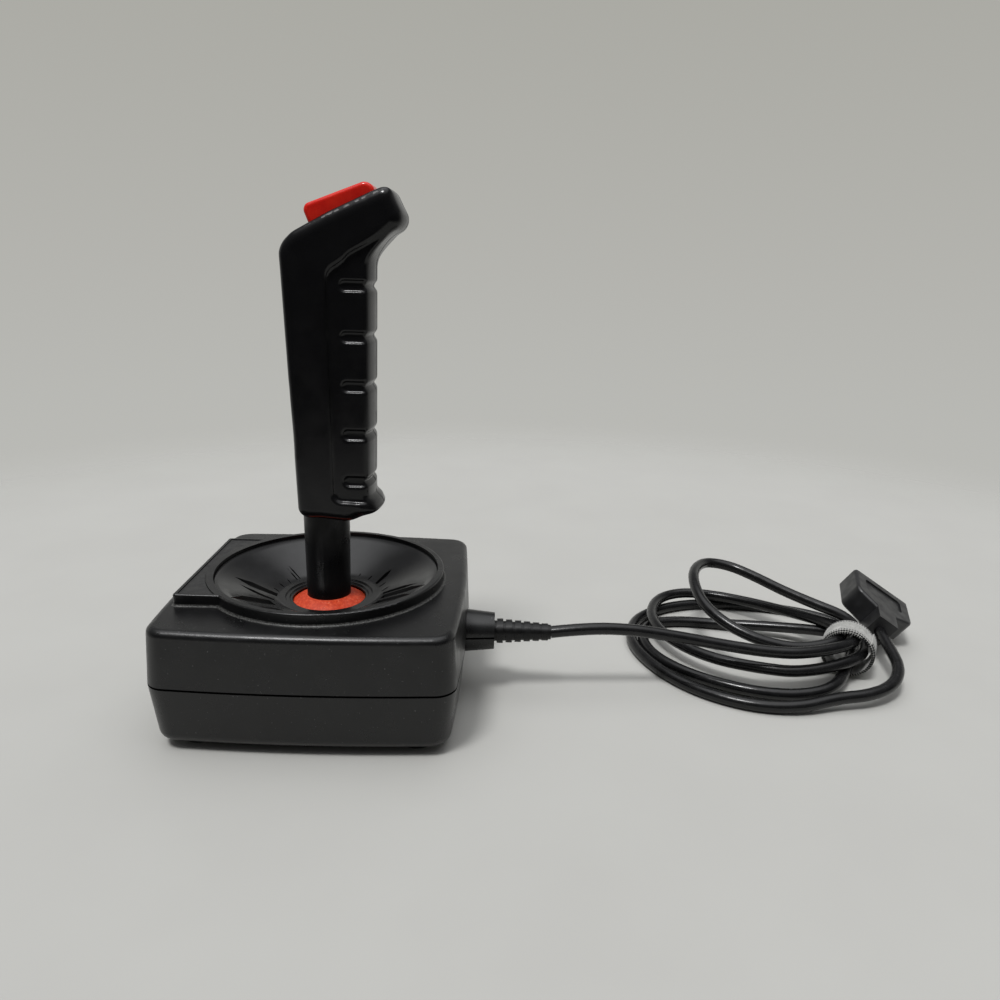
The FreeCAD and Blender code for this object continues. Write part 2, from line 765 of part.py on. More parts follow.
# Stick shaft: a tapered tube with a slim neck through the gimbal
shaft = new_body("stick_shaft")
shaft_radius = size("shaft_radius")
shaft_lower = shaft_radius - size("shaft_taper")
shaft_top = size("grip_low") + size("socket_depth")
limit = size("tilt_limit")
ring_drop = size("gimbal_height") / 2 + size("gimbal_outer") * sine(limit)
neck_low = pivot - (ring_drop + size("gimbal_clearance")) / cosine(limit)
dome_radius = size("dome_radius")
dome_inner = dome_radius - size("dome_wall")
flange_radius = shaft_lower + 3
flange_high = pivot + root(dome_inner * dome_inner - flange_radius * flange_radius) - 0.3
shaft_section = new_sketch(shaft, "section", "XZ_Plane")
neck = size("neck_radius")
bore = size("shaft_bore")
running_gap = size("running_gap")
bore_low = pivot + size("cross_pin_radius") + 2.5
stake_radius = measure(1.55)
draw_loop(shaft_section, [
    (0, neck_low - size("spider_thickness") - 0.5), (stake_radius, neck_low - size("spider_thickness") - 0.5),
    (stake_radius, neck_low), (neck, neck_low), (neck, size("shaft_foot")),
    (flange_radius, flange_high - 2), (flange_radius, flange_high), (shaft_lower, flange_high),
    (shaft_radius, size("grip_low")), (shaft_radius, shaft_top), (bore, shaft_top),
    (bore, bore_low), (0, bore_low),
])
revolve(shaft, shaft_section, "shaft_form")
shaft_pin = new_sketch(shaft, "pin_hole", "XZ_Plane", -neck - 1)
draw_circle(shaft_pin, 0, pivot, size("cross_pin_radius"))
pocket(shaft, shaft_pin, neck * 2 + 2, "pin_bore", True)
lock_height = size("grip_low") + size("socket_depth") - 8
lock_radius = size("lock_radius")
lock_hole = new_sketch(shaft, "lock_hole", "YZ_Plane", -shaft_radius - 1)
draw_circle(lock_hole, 0, lock_height, lock_radius + running_gap)
pocket(shaft, lock_hole, shaft_radius * 2 + 2, "lock_bore", True)
keep(shaft, "stick_shaft")
keep(cylinder("cross_pin_rod", size("cross_pin_radius"), size("gimbal_outer") * 2 - 0.8,
              (0, -size("gimbal_outer") + 0.4, pivot), V(0, 1, 0)), "cross_pin")
lock_half = size("finger_half") - 1.6
keep(cylinder("lock_rod", lock_radius, lock_half * 2, (-lock_half, 0, lock_height), V(1, 0, 0)), "shaft_lock_pin")

# Red dome that closes the opening at every tilt: a shell centred on the pivot
dome = new_body("pivot_dome")
dome_bore = shaft_lower + 0.12
spread = size("dome_spread")
dome_section = new_sketch(dome, "section", "XZ_Plane")


def draw_shell_section(drawing, outer, inner, bore_size, spread_angle, middle):
    """Half section of a spherical shell from the bore down to the spread angle."""
    low_outer = (outer * sine(spread_angle), middle + outer * cosine(spread_angle))
    low_inner = (inner * sine(spread_angle), middle + inner * cosine(spread_angle))
    high_outer = (bore_size, middle + root(outer * outer - bore_size * bore_size))
    high_inner = (bore_size, middle + root(inner * inner - bore_size * bore_size))
    spots = [V(x.value, y.value, 0) for x, y in (low_inner, low_outer, high_outer, high_inner)]
    centre = V(0, middle.value, 0)
    foot = drawing.addGeometry(Part.LineSegment(spots[0], spots[1]))
    outside = drawing.addGeometry(arc_between(spots[1], spots[2], centre)[0])
    wall = drawing.addGeometry(Part.LineSegment(spots[2], spots[3]))
    inside = drawing.addGeometry(arc_between(spots[0], spots[3], centre)[0])
    drawing.addConstraint(Sketcher.Constraint("Coincident", foot, 2, outside, 1))
    drawing.addConstraint(Sketcher.Constraint("Coincident", outside, 2, wall, 1))
    drawing.addConstraint(Sketcher.Constraint("Coincident", wall, 2, inside, 2))
    drawing.addConstraint(Sketcher.Constraint("Coincident", inside, 1, foot, 1))
    place_point(drawing, foot, 1, *low_inner)
    place_point(drawing, foot, 2, *low_outer)
    place_point(drawing, wall, 1, *high_outer)
    place_point(drawing, wall, 2, *high_inner)
    tie_down(drawing, "Radius", outer, outside)
    tie_down(drawing, "Radius", inner, inside)


draw_shell_section(dome_section, dome_radius, dome_inner, dome_bore, spread, pivot)
revolve(dome, dome_section, "dome_shell")
keep(dome, "pivot_dome")

# Actuator: a hub with four arms whose prongs stand over the snap domes
circle = size("contact_circle")
dome_top = board_high + size("contact_rise")
prong_reach = circle + size("prong_radius")
prong_drop = (pivot - dome_top - size("contact_gap") - prong_reach * sine(limit)) / cosine(limit)
prong_low = pivot - prong_drop
spider = new_body("actuator")
hub = new_sketch(spider, "hub", "XY_Plane", neck_low - size("spider_thickness"))
draw_circle(hub, 0, 0, neck)
pad(spider, hub, size("spider_thickness"), "hub_disc")
arms = new_sketch(spider, "arms", "XY_Plane", neck_low - size("spider_thickness"))
arm_half = size("prong_radius")
arm_end = circle
for turn, (side_x, side_y) in enumerate(compass):
    if side_x:
        low_x, high_x = (3, arm_end) if side_x > 0 else (-arm_end, -3)
        draw_box(arms, low_x, high_x, -arm_half, arm_half)
    else:
        low_y, high_y = (3, arm_end) if side_y > 0 else (-arm_end, -3)
        draw_box(arms, -arm_half, arm_half, low_y, high_y)
pad(spider, arms, size("spider_thickness"), "arm_plates")
prongs = new_sketch(spider, "prongs", "XY_Plane", prong_low)
for side_x, side_y in compass:
    draw_circle(prongs, circle * side_x, circle * side_y, size("prong_radius"))
pad(spider, prongs, neck_low - prong_low, "prong_posts")
stake_hole = new_sketch(spider, "stake_hole", "XY_Plane", neck_low - size("spider_thickness"))
draw_circle(stake_hole, 0, 0, stake_radius + running_gap)
pocket(spider, stake_hole, size("spider_thickness") + 1, "stake_hole_cut", True)
keep(spider, "actuator")

# Grip: each half is a narrower finger side, with the wider palm side running round it
grip_low = size("grip_low")
palm_low = size("palm_low")
palm_high = size("palm_high")
slope = size("slope_angle")
slope_rise = sine(slope) / cosine(slope)
finger_low = size("finger_low")
finger_high = size("finger_high")
lip_high = grip_low + size("lip_end")
nose_reach = size("nose_reach")
nose_low = size("slope_height") - size("nose_drop")
palm_half = size("palm_half")
finger_half = size("finger_half")
grip_round = size("grip_round")
slope_middle = size("slope_middle")


def slope_height(y):
    """Height of the sloped top at this distance from the stick's axis."""
    return size("slope_height") + (y - slope_middle) * slope_rise


def on_slope(along, depth):
    """The spot (Y, Z) this far along the slope from its middle and this deep under it."""
    along, depth = measure(along), measure(depth)
    y = slope_middle + along * cosine(slope) + depth * sine(slope)
    z = size("slope_height") + along * sine(slope) - depth * cosine(slope)
    return y, z


def sloped(corners):
    """Corners given as along, depth and perhaps a radius, laid out on the slope."""
    return [(*on_slope(corner[0], corner[1]), *corner[2:]) for corner in corners]


nose_top = nose_reach - size("nose_lean")
underside = nose_low - (nose_reach - finger_high) * slope_rise
corner_round = grip_round + 0.2


def finger_face(height):
    """Y of the finger side's front at this height."""
    share = (height - lip_high) / (underside - lip_high)
    return finger_low + (finger_high - finger_low) * share


half = new_body("grip_half")
outline = new_sketch(half, "outline", "YZ_Plane")
draw_loop(outline, [
    (-palm_low, grip_low, corner_round),
    (size("foot_reach"), grip_low, size("foot_sweep")),
    (size("lip_reach"), grip_low + size("lip_rise"), corner_round),
    (finger_low, lip_high + 2.4, size("lip_hollow")),
    (finger_high, underside, size("nose_hollow")),
    (nose_reach, nose_low, corner_round),
    (nose_top, slope_height(nose_top), corner_round),
    (-palm_high, slope_height(-palm_high), size("shoulder_round")),
])
palm_side = pad(half, outline, palm_half, "palm_side")
palm_edge_x = palm_half.value
round_edges(half, palm_side, grip_round, "palm_edge",
            lambda middle, around: around.XMin > palm_edge_x - 0.01 and middle.y < -9)
inset = new_sketch(half, "inset", "YZ_Plane", finger_half)
inset_top = underside - size("inset_drop")
edge_y = nose_reach - size("nose_edge")
past_nose = nose_reach + 2
draw_loop(inset, [
    (past_nose, lip_high),
    (past_nose, nose_low - 1.2 - (past_nose - edge_y) * 0.8),
    (edge_y, nose_low - 1.2),
    (size("inset_high"), inset_top, size("inset_round")),
    (size("inset_low"), lip_high, size("inset_round") / 2),
])
inset_pocket = pocket(half, inset, palm_half, "finger_inset", True)
inset_low_z = lip_high.value - 0.1
inset_high_z = underside.value - 2
round_edges(half, inset_pocket, size("finger_edge"), "soft_finger_edge",
            lambda middle, around: around.XMin > palm_edge_x - 0.01 and middle.y > 4
            and inset_low_z < around.ZMin and around.ZMax < inset_high_z)
groove_count = 5
groove_low = grip_low + size("first_groove")
groove_pitch = (underside - size("last_groove") - groove_low) / (groove_count - 1)
groove_heights = [groove_low + groove_pitch * number for number in range(groove_count)]
groove_half = size("groove_height") / 2
groove_depth = size("groove_depth")
notches = new_sketch(half, "notches", "YZ_Plane")
slots = new_sketch(half, "slots", "YZ_Plane", finger_half - groove_depth)
for height in groove_heights:
    face = finger_face(height)
    draw_loop(notches, [(face - size("notch_depth"), height),
                        (face + size("notch_depth"), height - groove_half * 2),
                        (face + size("notch_depth"), height + groove_half * 2)])
    start = size("groove_start")
    draw_loop(slots, [(start, height - groove_half, groove_half - 0.1),
                      (face + 2, height - groove_half),
                      (face + 2, height + groove_half),
                      (start, height + groove_half, groove_half - 0.1)])
pocket(half, notches, finger_half + 1, "finger_notches", True)
pocket(half, slots, groove_depth + 3, "finger_slots", True)
wall = size("grip_wall")
cavity_half = finger_half - size("side_wall")
socket_top = grip_low + size("socket_depth")
cavity_floor = socket_top + 1
button_half = size("button_length") / 2
flange_lip = size("flange_lip")
flange_end = button_half + flange_lip + 0.3
switch_top = size("switch_depth")
switch_low = switch_top + size("switch_height")
shelf_top = switch_low + 0.02
shelf_low = shelf_top + size("shelf_thickness")
chamber = new_sketch(half, "switch_chamber", "YZ_Plane")
draw_loop(chamber, sloped([(-18, wall), (flange_end, wall), (flange_end, wall + 4), (9, shelf_top), (-14, shelf_top)]))
pocket(half, chamber, cavity_half, "switch_room", True)
lower_room = new_sketch(half, "lower_room", "YZ_Plane")
room_front = finger_low - size("side_wall")
draw_loop(lower_room, [
    (-palm_low + size("side_wall"), cavity_floor), (room_front, cavity_floor),
    (room_front, on_slope(3, shelf_low)[1]),
    (-palm_high + wall + 0.6, on_slope(-23, shelf_low)[1]),
])
pocket(half, lower_room, cavity_half, "wire_room", True)
hole_half = size("button_width") / 2 + size("button_gap")
hole_end = button_half + size("button_gap")
button_cut = new_sketch(half, "button_cut", "YZ_Plane")
draw_loop(button_cut, sloped([(-hole_end, -8), (hole_end, -8), (hole_end, wall + 1), (-hole_end, wall + 1)]))
pocket(half, button_cut, hole_half, "button_hole", True)
wire_notch = new_sketch(half, "wire_notch", "YZ_Plane")
draw_loop(wire_notch, sloped([(-5, shelf_top - 1), (-1, shelf_top - 1), (-1, shelf_low + 1), (-5, shelf_low + 1)]))
pocket(half, wire_notch, 2.2, "wire_hole", True)
shaft_socket = new_sketch(half, "shaft_socket", "XY_Plane", grip_low - 1)
draw_circle(shaft_socket, 0, 0, shaft_radius + size("seat_gap"))
pocket(half, shaft_socket, socket_top - grip_low + 1 + 0.1, "socket", True)
wire_passage = new_sketch(half, "wire_passage", "XY_Plane", socket_top - 0.5)
draw_circle(wire_passage, 0, 0, bore)
pocket(half, wire_passage, cavity_floor - socket_top + 1, "passage", True)
boss_spot = (-palm_low + 4.1, grip_low + size("middle_screw"))
boss = new_sketch(half, "screw_boss", "YZ_Plane")
draw_circle(boss, *boss_spot, size("grip_boss"))
pad(half, boss, cavity_half + 0.5, "boss_post")
lock_socket = new_sketch(half, "lock_socket", "YZ_Plane")
draw_circle(lock_socket, 0, lock_height, lock_radius + running_gap)
pocket(half, lock_socket, lock_half + 0.1, "lock_seat", True)
grip_spots = [boss_spot, (finger_low - 6, grip_low + 12.8), on_slope(16.6, 11)]


def across_grip(name, radius, start, end):
    """Cylinders along X from start to end, one at each of the grip's screws."""
    rods = []
    for number, (y, z) in enumerate(grip_spots):
        rods.append(cylinder(f"{name}_{number}", radius, end - start, (start, y, z), V(1, 0, 0)))
    return join(name, rods)


screw_radius = size("screw_radius")
grip_screw_end = cavity_half - 0.1
head_seat = cavity_half + 0.8
outside = palm_half + 1
pilot_tool = across_grip("grip_pilots", screw_radius + 0.05, measure(-1), grip_screw_end)
keep(cut("right_half", half, pilot_tool), "grip_right")
mirrored_half = doc.addObject("Part::Mirroring", "mirrored_half")
mirrored_half.Source = half
mirrored_half.Normal = V(1, 0, 0)
shank_tool = across_grip("grip_shank_holes", screw_radius + 0.2, -outside, measure(1))
head_tool = across_grip("grip_head_wells", size("screw_head") + 0.3, -outside, -head_seat)
keep(cut("left_half", mirrored_half, join("left_holes", [shank_tool, head_tool])), "grip_left")
grip_head_height = 1.6
grip_screws = []
for number, (y, z) in enumerate(grip_spots):
    place = (-head_seat - grip_head_height, y, z)
    shank = head_seat + grip_screw_end - 0.6
    grip_screws.append(screw(f"grip_screw_{number}", place, shank, grip_head_height, V(1, 0, 0)))
keep(group("grip_screw_group", grip_screws), "grip_screws")

# Fire button: a rounded key with a hidden flange and a post that reaches the switch
button = new_body("fire_button")
key_half = size("button_width") / 2
flange_high = wall + size("seat_gap")
flange_low = flange_high + size("flange_thickness")
key_profile = new_sketch(button, "key_profile", "YZ_Plane", -key_half)
draw_loop(key_profile, sloped([
    (-button_half, flange_low), (button_half, flange_low),
    (button_half, -size("button_low"), size("button_nose_round")),
    (-button_half, -size("button_high"), size("button_palm_round")),
]))
key_pad = pad(button, key_profile, key_half * 2, "key_form")
slope_normal = V(0, -sine(slope).value, cosine(slope).value)
slope_spot = V(0, slope_middle.value, size("slope_height").value)
round_edges(button, key_pad, size("button_edge"), "key_edge",
            lambda middle, around: around.XMax - around.XMin < 0.01
            and (middle - slope_spot).dot(slope_normal) > 1)
flange_half = key_half + flange_lip
flange_reach = button_half + flange_lip
flange = new_sketch(button, "flange", "YZ_Plane", -flange_half)
draw_loop(flange, sloped([(-flange_reach, flange_low), (flange_reach, flange_low),
                          (flange_reach, flange_high), (-flange_reach, flange_high)]))
pad(button, flange, flange_half * 2, "flange_plate")
post_half = size("post_size") / 2
post_end = switch_top - size("button_travel") - 0.4
post = new_sketch(button, "post", "YZ_Plane", -post_half)
draw_loop(post, sloped([(-post_half, flange_low - 0.5), (post_half, flange_low - 0.5),
                        (post_half, post_end), (-post_half, post_end)]))
pad(button, post, post_half * 2, "post_pad")
keep(button, "fire_button")


def along_normal(name, radius, low, high):
    """A cylinder square to the slope at its middle, between two depths."""
    y, z = on_slope(0, low)
    return cylinder(name, radius, low - high, (0, y, z), slope_normal)


# Fire switch: a block on the shelf inside the grip, with a plunger that the button pushes in
switch_half = size("switch_width") / 2
switch_reach = size("switch_length") / 2
switch_block = new_body("switch_block")
switch_side = new_sketch(switch_block, "side", "YZ_Plane", -switch_half)
draw_loop(switch_side, sloped([(-switch_reach, switch_low), (switch_reach, switch_low),
                               (switch_reach, switch_top), (-switch_reach, switch_top)]))
pad(switch_block, switch_side, switch_half * 2, "block")
plunger_radius = size("plunger_radius")
plunger_low = switch_top + 1.2
plunger_bore = along_normal("plunger_bore", plunger_radius + running_gap,
                            plunger_low + size("button_travel") + 0.4, switch_top - 1)
keep(cut("switch_form", switch_block, plunger_bore), "fire_switch")
keep(along_normal("plunger", plunger_radius, plunger_low, post_end), "switch_plunger")


# Cords and wires are straight runs joined by tangent arcs

def bent_path(points, name):
    """A wire through the points, turning at each on the largest arc that its two runs allow."""
    edges = []
    last = points[0]
    for before, corner, after in zip(points, points[1:], points[2:]):
        to_before, to_after = before - corner, after - corner
        turn = math.pi - to_before.getAngle(to_after)
        reach = 0.45 * min(to_before.Length, to_after.Length)
        radius = reach / math.tan(turn / 2)
        to_before.normalize()
        to_after.normalize()
        start, end = corner + to_before * reach, corner + to_after * reach
        inward = (to_before + to_after).normalize()
        middle = corner + inward * (math.hypot(radius, reach) - radius)
        edges.append(Part.LineSegment(last, start).toShape())
        edges.append(Part.Arc(start, middle, end).toShape())
        last = end
        print(f"{name}: a turn of {math.degrees(turn):.1f} degrees on a radius of {radius:.1f} mm")
    edges.append(Part.LineSegment(last, points[-1]).toShape())
    return Part.Wire(edges)


def tube(name, points, radius):
    path = bent_path(points, name)
    section = Part.Wire(Part.makeCircle(radius, points[0], points[1] - points[0]))
    solid = path.makePipeShell([section], True, True)
    share = solid.Volume / (math.pi * radius ** 2 * path.Length)
    print(f"{name}: {path.Length:.1f} mm long, volume over section times length {share:.4f}")
    shape = doc.addObject("Part::Feature", name)
    shape.Shape = solid
    return shape


def spot(x, y, z):
    return V(measure(x).value, measure(y).value, measure(z).value)


# Two wires from the fire switch, down the grip and the shaft to the pivot
wires = []
wire_y, wire_z = on_slope(-3, switch_low + 0.3)
wire_side = 2.3
for number, x in enumerate((0.8, -0.8)):
    wires.append(tube(f"fire_wire_{number}", [
        spot(x, wire_y, wire_z), spot(x, wire_y, wire_z - 12),
        spot(x, wire_side, cavity_floor + 16), spot(x, wire_side, bore_low + 0.4),
    ], 0.6))
keep(group("fire_wire_group", wires), "fire_wires")

# Strain relief: a flange inside the wall, a neck through the collar and tapering ribs
relief = new_body("strain_relief")
relief_section = new_sketch(relief, "section", "XY_Plane", parting)
cord_radius = size("cord_radius")
relief_neck = size("relief_neck")
rib_pitch = size("rib_pitch")
rib_count = 6
rib_start = size("collar_reach") + 1
relief_end = rib_start + rib_pitch * rib_count
relief_start = wall_inside - 3.2
neck_start = wall_inside - 1.1
rib_root = cord_radius + 0.5
draw_loop(relief_section, [
    (0, relief_start), (relief_neck + 2.6, relief_start), (relief_neck + 2.6, neck_start),
    (relief_neck, neck_start), (relief_neck, rib_start), (rib_root, relief_end), (0, relief_end),
])
revolve(relief, relief_section, "relief_core")
ribs = new_sketch(relief, "ribs", "XY_Plane", parting)
for number in range(rib_count):
    taper = (size("rib_radius") - size("rib_small")) * number / (rib_count - 1)
    rib_low = rib_start + rib_pitch * number
    rib_high = rib_low + size("rib_width")
    draw_box(ribs, rib_root - 1, size("rib_radius") - taper, rib_low, rib_high)
revolve(relief, ribs, "rib_rings")
keep(relief, "strain_relief")

# Leads inside the case, from the strain relief to the circuit board
leads = []
for number in range(6):
    x = (number - 2.5) * 1.4
    leads.append(tube(f"inner_lead_{number}", [
        spot(x, relief_start - 0.05, parting), spot(x, relief_start - 6.7, parting - 0.5),
        spot(x * 1.8, relief_start - 16.7, (board_high + parting) / 2),
        spot(x * 1.8, board_y - 3, board_high + 4), spot(x * 1.8, board_y - 3.5, board_high + 0.1),
    ], 0.55))
keep(group("inner_lead_group", leads), "inner_leads")

# Cord: from the strain relief over the coil and into the tie
LEAD_ROUTE = [
    (0, 106, 27), (-1.5, 124, 25.8), (-3, 143, 22.6), (-3.6, 163, 19.6), (-2.5, 182, 18),
    (-3.5, 199, 17.4), (-13.7, 223.5, 17.2),
]
lead_points = [spot(0, relief_end, parting)] + [V(*point) for point in LEAD_ROUTE]
keep(tube("lead_tube", lead_points, cord_radius.value), "cord_lead")

# Coil: the outer shape of its loose turns, gathered into a round bundle where the tie holds them
coil = new_body("coil_turns")
coil_plan = new_sketch(coil, "plan", "XY_Plane")
draw_circle(coil_plan, size("coil_x"), size("coil_y"), size("coil_outer"))
draw_circle(coil_plan, size("hole_x"), size("hole_y"), size("coil_inner"))
coil_pad = pad(coil, coil_plan, size("coil_height"), "coil_form")
round_edges(coil, coil_pad, size("coil_round"), "coil_edge",
            lambda middle, around: around.ZMax - around.ZMin < 0.01)
tie_heading = size("tie_heading")
tie_way = V(cosine(tie_heading).value, sine(tie_heading).value, 0)
tie_radius = size("tie_radius")
tie_inner = tie_radius - size("tie_wall")
tie_width = size("tie_width")
tie_height = tie_radius + 0.1


def round_tie(name, radius, length):
    """A cylinder along the tie's axis, centred in it."""
    place = (size("tie_x") - length / 2 * cosine(tie_heading),
             size("tie_y") - length / 2 * sine(tie_heading), tie_height)
    return cylinder(name, radius, length, place, tie_way)


open_coil = cut("open_coil", coil, round_tie("waist_room", tie_radius * 2, tie_width + 0.6))
bundle = round_tie("bundle", tie_inner - 0.2, tie_width + 3)
keep(join("coil_with_bundle", [open_coil, bundle]), "cord_coil")
keep(cut("tie_ring", round_tie("tie_outside", tie_radius, tie_width),
         round_tie("tie_inside", tie_inner, tie_width + 2)), "cord_tie")

# Last stretch of the cord, from the coil round the tie to the plug
plug_spot = (size("plug_x"), size("plug_y"), size("plug_z"))
TAIL_ROUTE = [(11.2, 208, 5.2), (9, 222, 5.6), (2.5, 234.5, 6.6), (-8.5, 242.3, 8.8), (-22, 244.4, 11)]
tail_points = [V(*point) for point in TAIL_ROUTE] + [spot(*plug_spot)]
keep(tube("tail_tube", tail_points, cord_radius.value), "cord_tail")

# Plug: a flat moulded hood with a boot, leaning on its edge, and a nine-way socket at its end
plug_turn = FreeCAD.Rotation(162, -8, 32)
plug_place = FreeCAD.Placement(spot(*plug_spot), plug_turn)
hood = new_body("plug_hood")
hood_plan = new_sketch(hood, "plan", "XY_Plane", -size("plug_thickness") / 2)
plug_half = size("plug_width") / 2
plug_length = size("plug_length")
boot_half = size("boot_width") / 2
draw_loop(hood_plan, [
    (0, -boot_half), (9, -boot_half), (15, -plug_half, 5), (plug_length, -plug_half),
    (plug_length, plug_half), (15, plug_half, 5), (9, boot_half), (0, boot_half),
])
hood_pad = pad(hood, hood_plan, size("plug_thickness"), "hood_form")
plug_end = plug_length.value
round_edges(hood, hood_pad, 1.6, "hood_edge",
            lambda middle, around: around.ZMax - around.ZMin < 0.01 and around.XMax < plug_end + 0.01
            and around.XMax - around.XMin > 1 and middle.x > 16)
for number, (offset, reverse) in enumerate(((size("plug_thickness") / 2, False), (-size("plug_thickness") / 2, True))):
    grip_panel = new_sketch(hood, f"grip_panel_{number}", "XY_Plane", offset)
    draw_loop(grip_panel, [(19, -10, 2), (30, -10, 2), (30, 10, 2), (19, 10, 2)])
    pocket(hood, grip_panel, 0.8, f"panel_recess_{number}", reverse)
hood.Placement = plug_place
keep(hood, "plug_hood")


def draw_socket_outline(drawing, shrink):
    """The D shape of a nine-way socket, seen from its end."""
    half_width = measure(8.4) - shrink
    half_height = measure(4.1) - shrink
    draw_loop(drawing, [(-half_width, half_height, 1.6), (half_width, half_height, 1.6),
                        (half_width - 1.4, -half_height, 1.6), (-half_width + 1.4, -half_height, 1.6)])


socket_body = new_body("plug_socket")
socket_sketch = new_sketch(socket_body, "outline", "YZ_Plane", plug_length)
draw_socket_outline(socket_sketch, measure(0))
pad(socket_body, socket_sketch, 6, "socket_form")
contact_spots = [((number - 2) * 2.76, 1.42) for number in range(5)]
contact_spots += [((number - 1.5) * 2.76, -1.42) for number in range(4)]
contact_holes = new_sketch(socket_body, "contact_holes", "YZ_Plane", plug_length + 6)
for y, z in contact_spots:
    draw_circle(contact_holes, y, z, 0.9)
pocket(socket_body, contact_holes, 5.5, "contact_bores")
socket_body.Placement = plug_place
keep(socket_body, "plug_socket")
contacts = []
for number, (y, z) in enumerate(contact_spots):
    place = (plug_length + 0.5, y, z)
    contacts.append(cut(f"contact_{number}", cylinder(f"contact_outside_{number}", 0.85, 5, place, V(1, 0, 0)),
                        cylinder(f"contact_inside_{number}", 0.5, 5, place, V(1, 0, 0))))
contact_group = keep(group("contact_group", contacts), "plug_contacts")
contact_group.Placement = plug_place

doc.recompute()
for item in doc.Objects:
    if "Invalid" in item.State or "Error" in item.State:
        raise RuntimeError(f"{item.Label} did not compute")
for node in nodes:
    if node.Shape.isNull() or not node.Shape.isValid():
        raise RuntimeError(f"{node.Label} has no valid shape")
os.makedirs("parts", exist_ok=True)
for node in nodes:
    node.Shape.exportStep(f"parts/{node.Label}.step")
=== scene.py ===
import math

import bmesh
import bpy
from mathutils import Matrix, Vector


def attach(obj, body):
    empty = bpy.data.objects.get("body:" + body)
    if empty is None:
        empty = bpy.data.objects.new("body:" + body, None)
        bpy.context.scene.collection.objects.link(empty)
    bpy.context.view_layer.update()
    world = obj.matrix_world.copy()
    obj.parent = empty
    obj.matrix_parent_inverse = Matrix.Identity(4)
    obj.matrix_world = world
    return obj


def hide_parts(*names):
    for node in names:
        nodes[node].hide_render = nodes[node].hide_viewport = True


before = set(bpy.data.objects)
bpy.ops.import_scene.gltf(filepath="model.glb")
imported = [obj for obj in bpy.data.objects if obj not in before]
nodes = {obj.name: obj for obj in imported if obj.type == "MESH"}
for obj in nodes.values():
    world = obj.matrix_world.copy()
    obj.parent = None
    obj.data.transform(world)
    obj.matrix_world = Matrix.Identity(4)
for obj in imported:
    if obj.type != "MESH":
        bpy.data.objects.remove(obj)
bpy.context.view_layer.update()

# Lengths are in mm, and times MM in metres
MM = 0.001
scene = bpy.context.scene
scene.view_settings.view_transform = "Standard"


def add_object(name, data):
    added = bpy.data.objects.new(name, data)
    scene.collection.objects.link(added)
    return added


# Camera, at the photograph's place. Its angles are the turn from -X, the dip and the roll
CAMERA_PLACE = (300.57, 66.41, 168.29)
CAMERA_ANGLES = (0.34, 16.05, 1.71)
SENSOR_WIDTH, FOCAL_LENGTH = 36, 28.66608


def make_camera():
    yaw, pitch, roll = (math.radians(angle) for angle in CAMERA_ANGLES)
    forward = Vector((-math.cos(yaw) * math.cos(pitch), math.sin(yaw) * math.cos(pitch), -math.sin(pitch)))
    level = Vector((math.sin(yaw), math.cos(yaw), 0))
    upright = level.cross(forward)
    right = level * math.cos(roll) + upright * math.sin(roll)
    up = upright * math.cos(roll) - level * math.sin(roll)
    data = bpy.data.cameras.new("photo_camera")
    data.sensor_width = SENSOR_WIDTH
    data.lens = FOCAL_LENGTH
    camera = add_object("photo_camera", data)
    turn = Matrix((right, up, -forward)).transposed().to_4x4()
    camera.matrix_world = Matrix.Translation(Vector(CAMERA_PLACE) * MM) @ turn
    scene.camera = camera


make_camera()

# Cord: lead, four turns through the tie, and the tail to the plug
CORD_RADIUS = 2.5
LEAD = [(0, 90.7, 25.8), (0, 106, 28), (-1.5, 124, 27.3), (-3, 143, 24), (-3.6, 163, 20.4), (-2.5, 182, 18.2),
        (-3.5, 199, 17.4)]
TAIL = [(11.2, 208, 5.2), (9, 222, 5.6), (2.5, 234.5, 6.6), (-8.5, 242.3, 8.8), (-22, 244.4, 11),
        (-36.5, 245.4, 13.5)]
TIE_CENTRE = Vector((-22, 225, 11.6))
TIE_HEADING = math.radians(152)
TIE_WAY = Vector((math.cos(TIE_HEADING), math.sin(TIE_HEADING), 0))
TIE_SIDE = Vector((TIE_WAY.y, -TIE_WAY.x, 0))
STRAIGHT_HALF = 8
# Each turn: where its strand lies in the tie, sideways and up from the middle, then its points past the tie
TURNS = [
    ((2.6, 5.6), [(-41, 231, 18.4), (-52, 219, 20), (-62, 208, 22), (-73, 198, 24.4), (-82, 187, 26.8),
                  (-82, 174, 28.6), (-68, 165, 29.4), (-51, 161.5, 28), (-35, 163, 24), (-23, 173, 19),
                  (-16, 187, 15.6), (-13.5, 201, 14.6)]),
    ((-3.6, 5.2), [(-42, 225, 14), (-54, 218, 12), (-67, 209, 10), (-80, 196, 8.4), (-88, 181, 8),
                   (-90.5, 166, 8), (-82, 152, 8), (-64, 144.5, 8), (-45, 144.5, 8), (-28, 151, 8.2),
                   (-14, 163, 8.6), (-5.5, 180, 9.2), (-1, 198, 9.6)]),
    ((6.0, -0.4), [(-38, 234, 10.4), (-47, 222, 8.2), (-54, 208, 6), (-60, 192, 4), (-64, 175, 2.6),
                   (-66, 159, 2.6), (-62, 144, 2.6), (-47, 137.5, 2.6), (-30, 139, 2.6), (-15, 148, 2.6),
                   (-3.5, 162, 2.7), (4, 178, 2.8), (6, 195, 3), (1.5, 211, 4.4)]),
    ((1.2, -5.6), [(-43, 237, 4.6), (-58, 243, 3.4), (-73, 237, 2.7), (-82, 223, 2.6), (-87, 205, 2.6),
                   (-89, 186, 2.6), (-87, 167, 2.6), (-78, 149, 2.6), (-63, 135.8, 2.6), (-40, 131.5, 2.6),
                   (-17, 138, 2.6), (2, 151, 2.6), (14, 170, 2.6), (16.5, 190, 3.2)]),
]


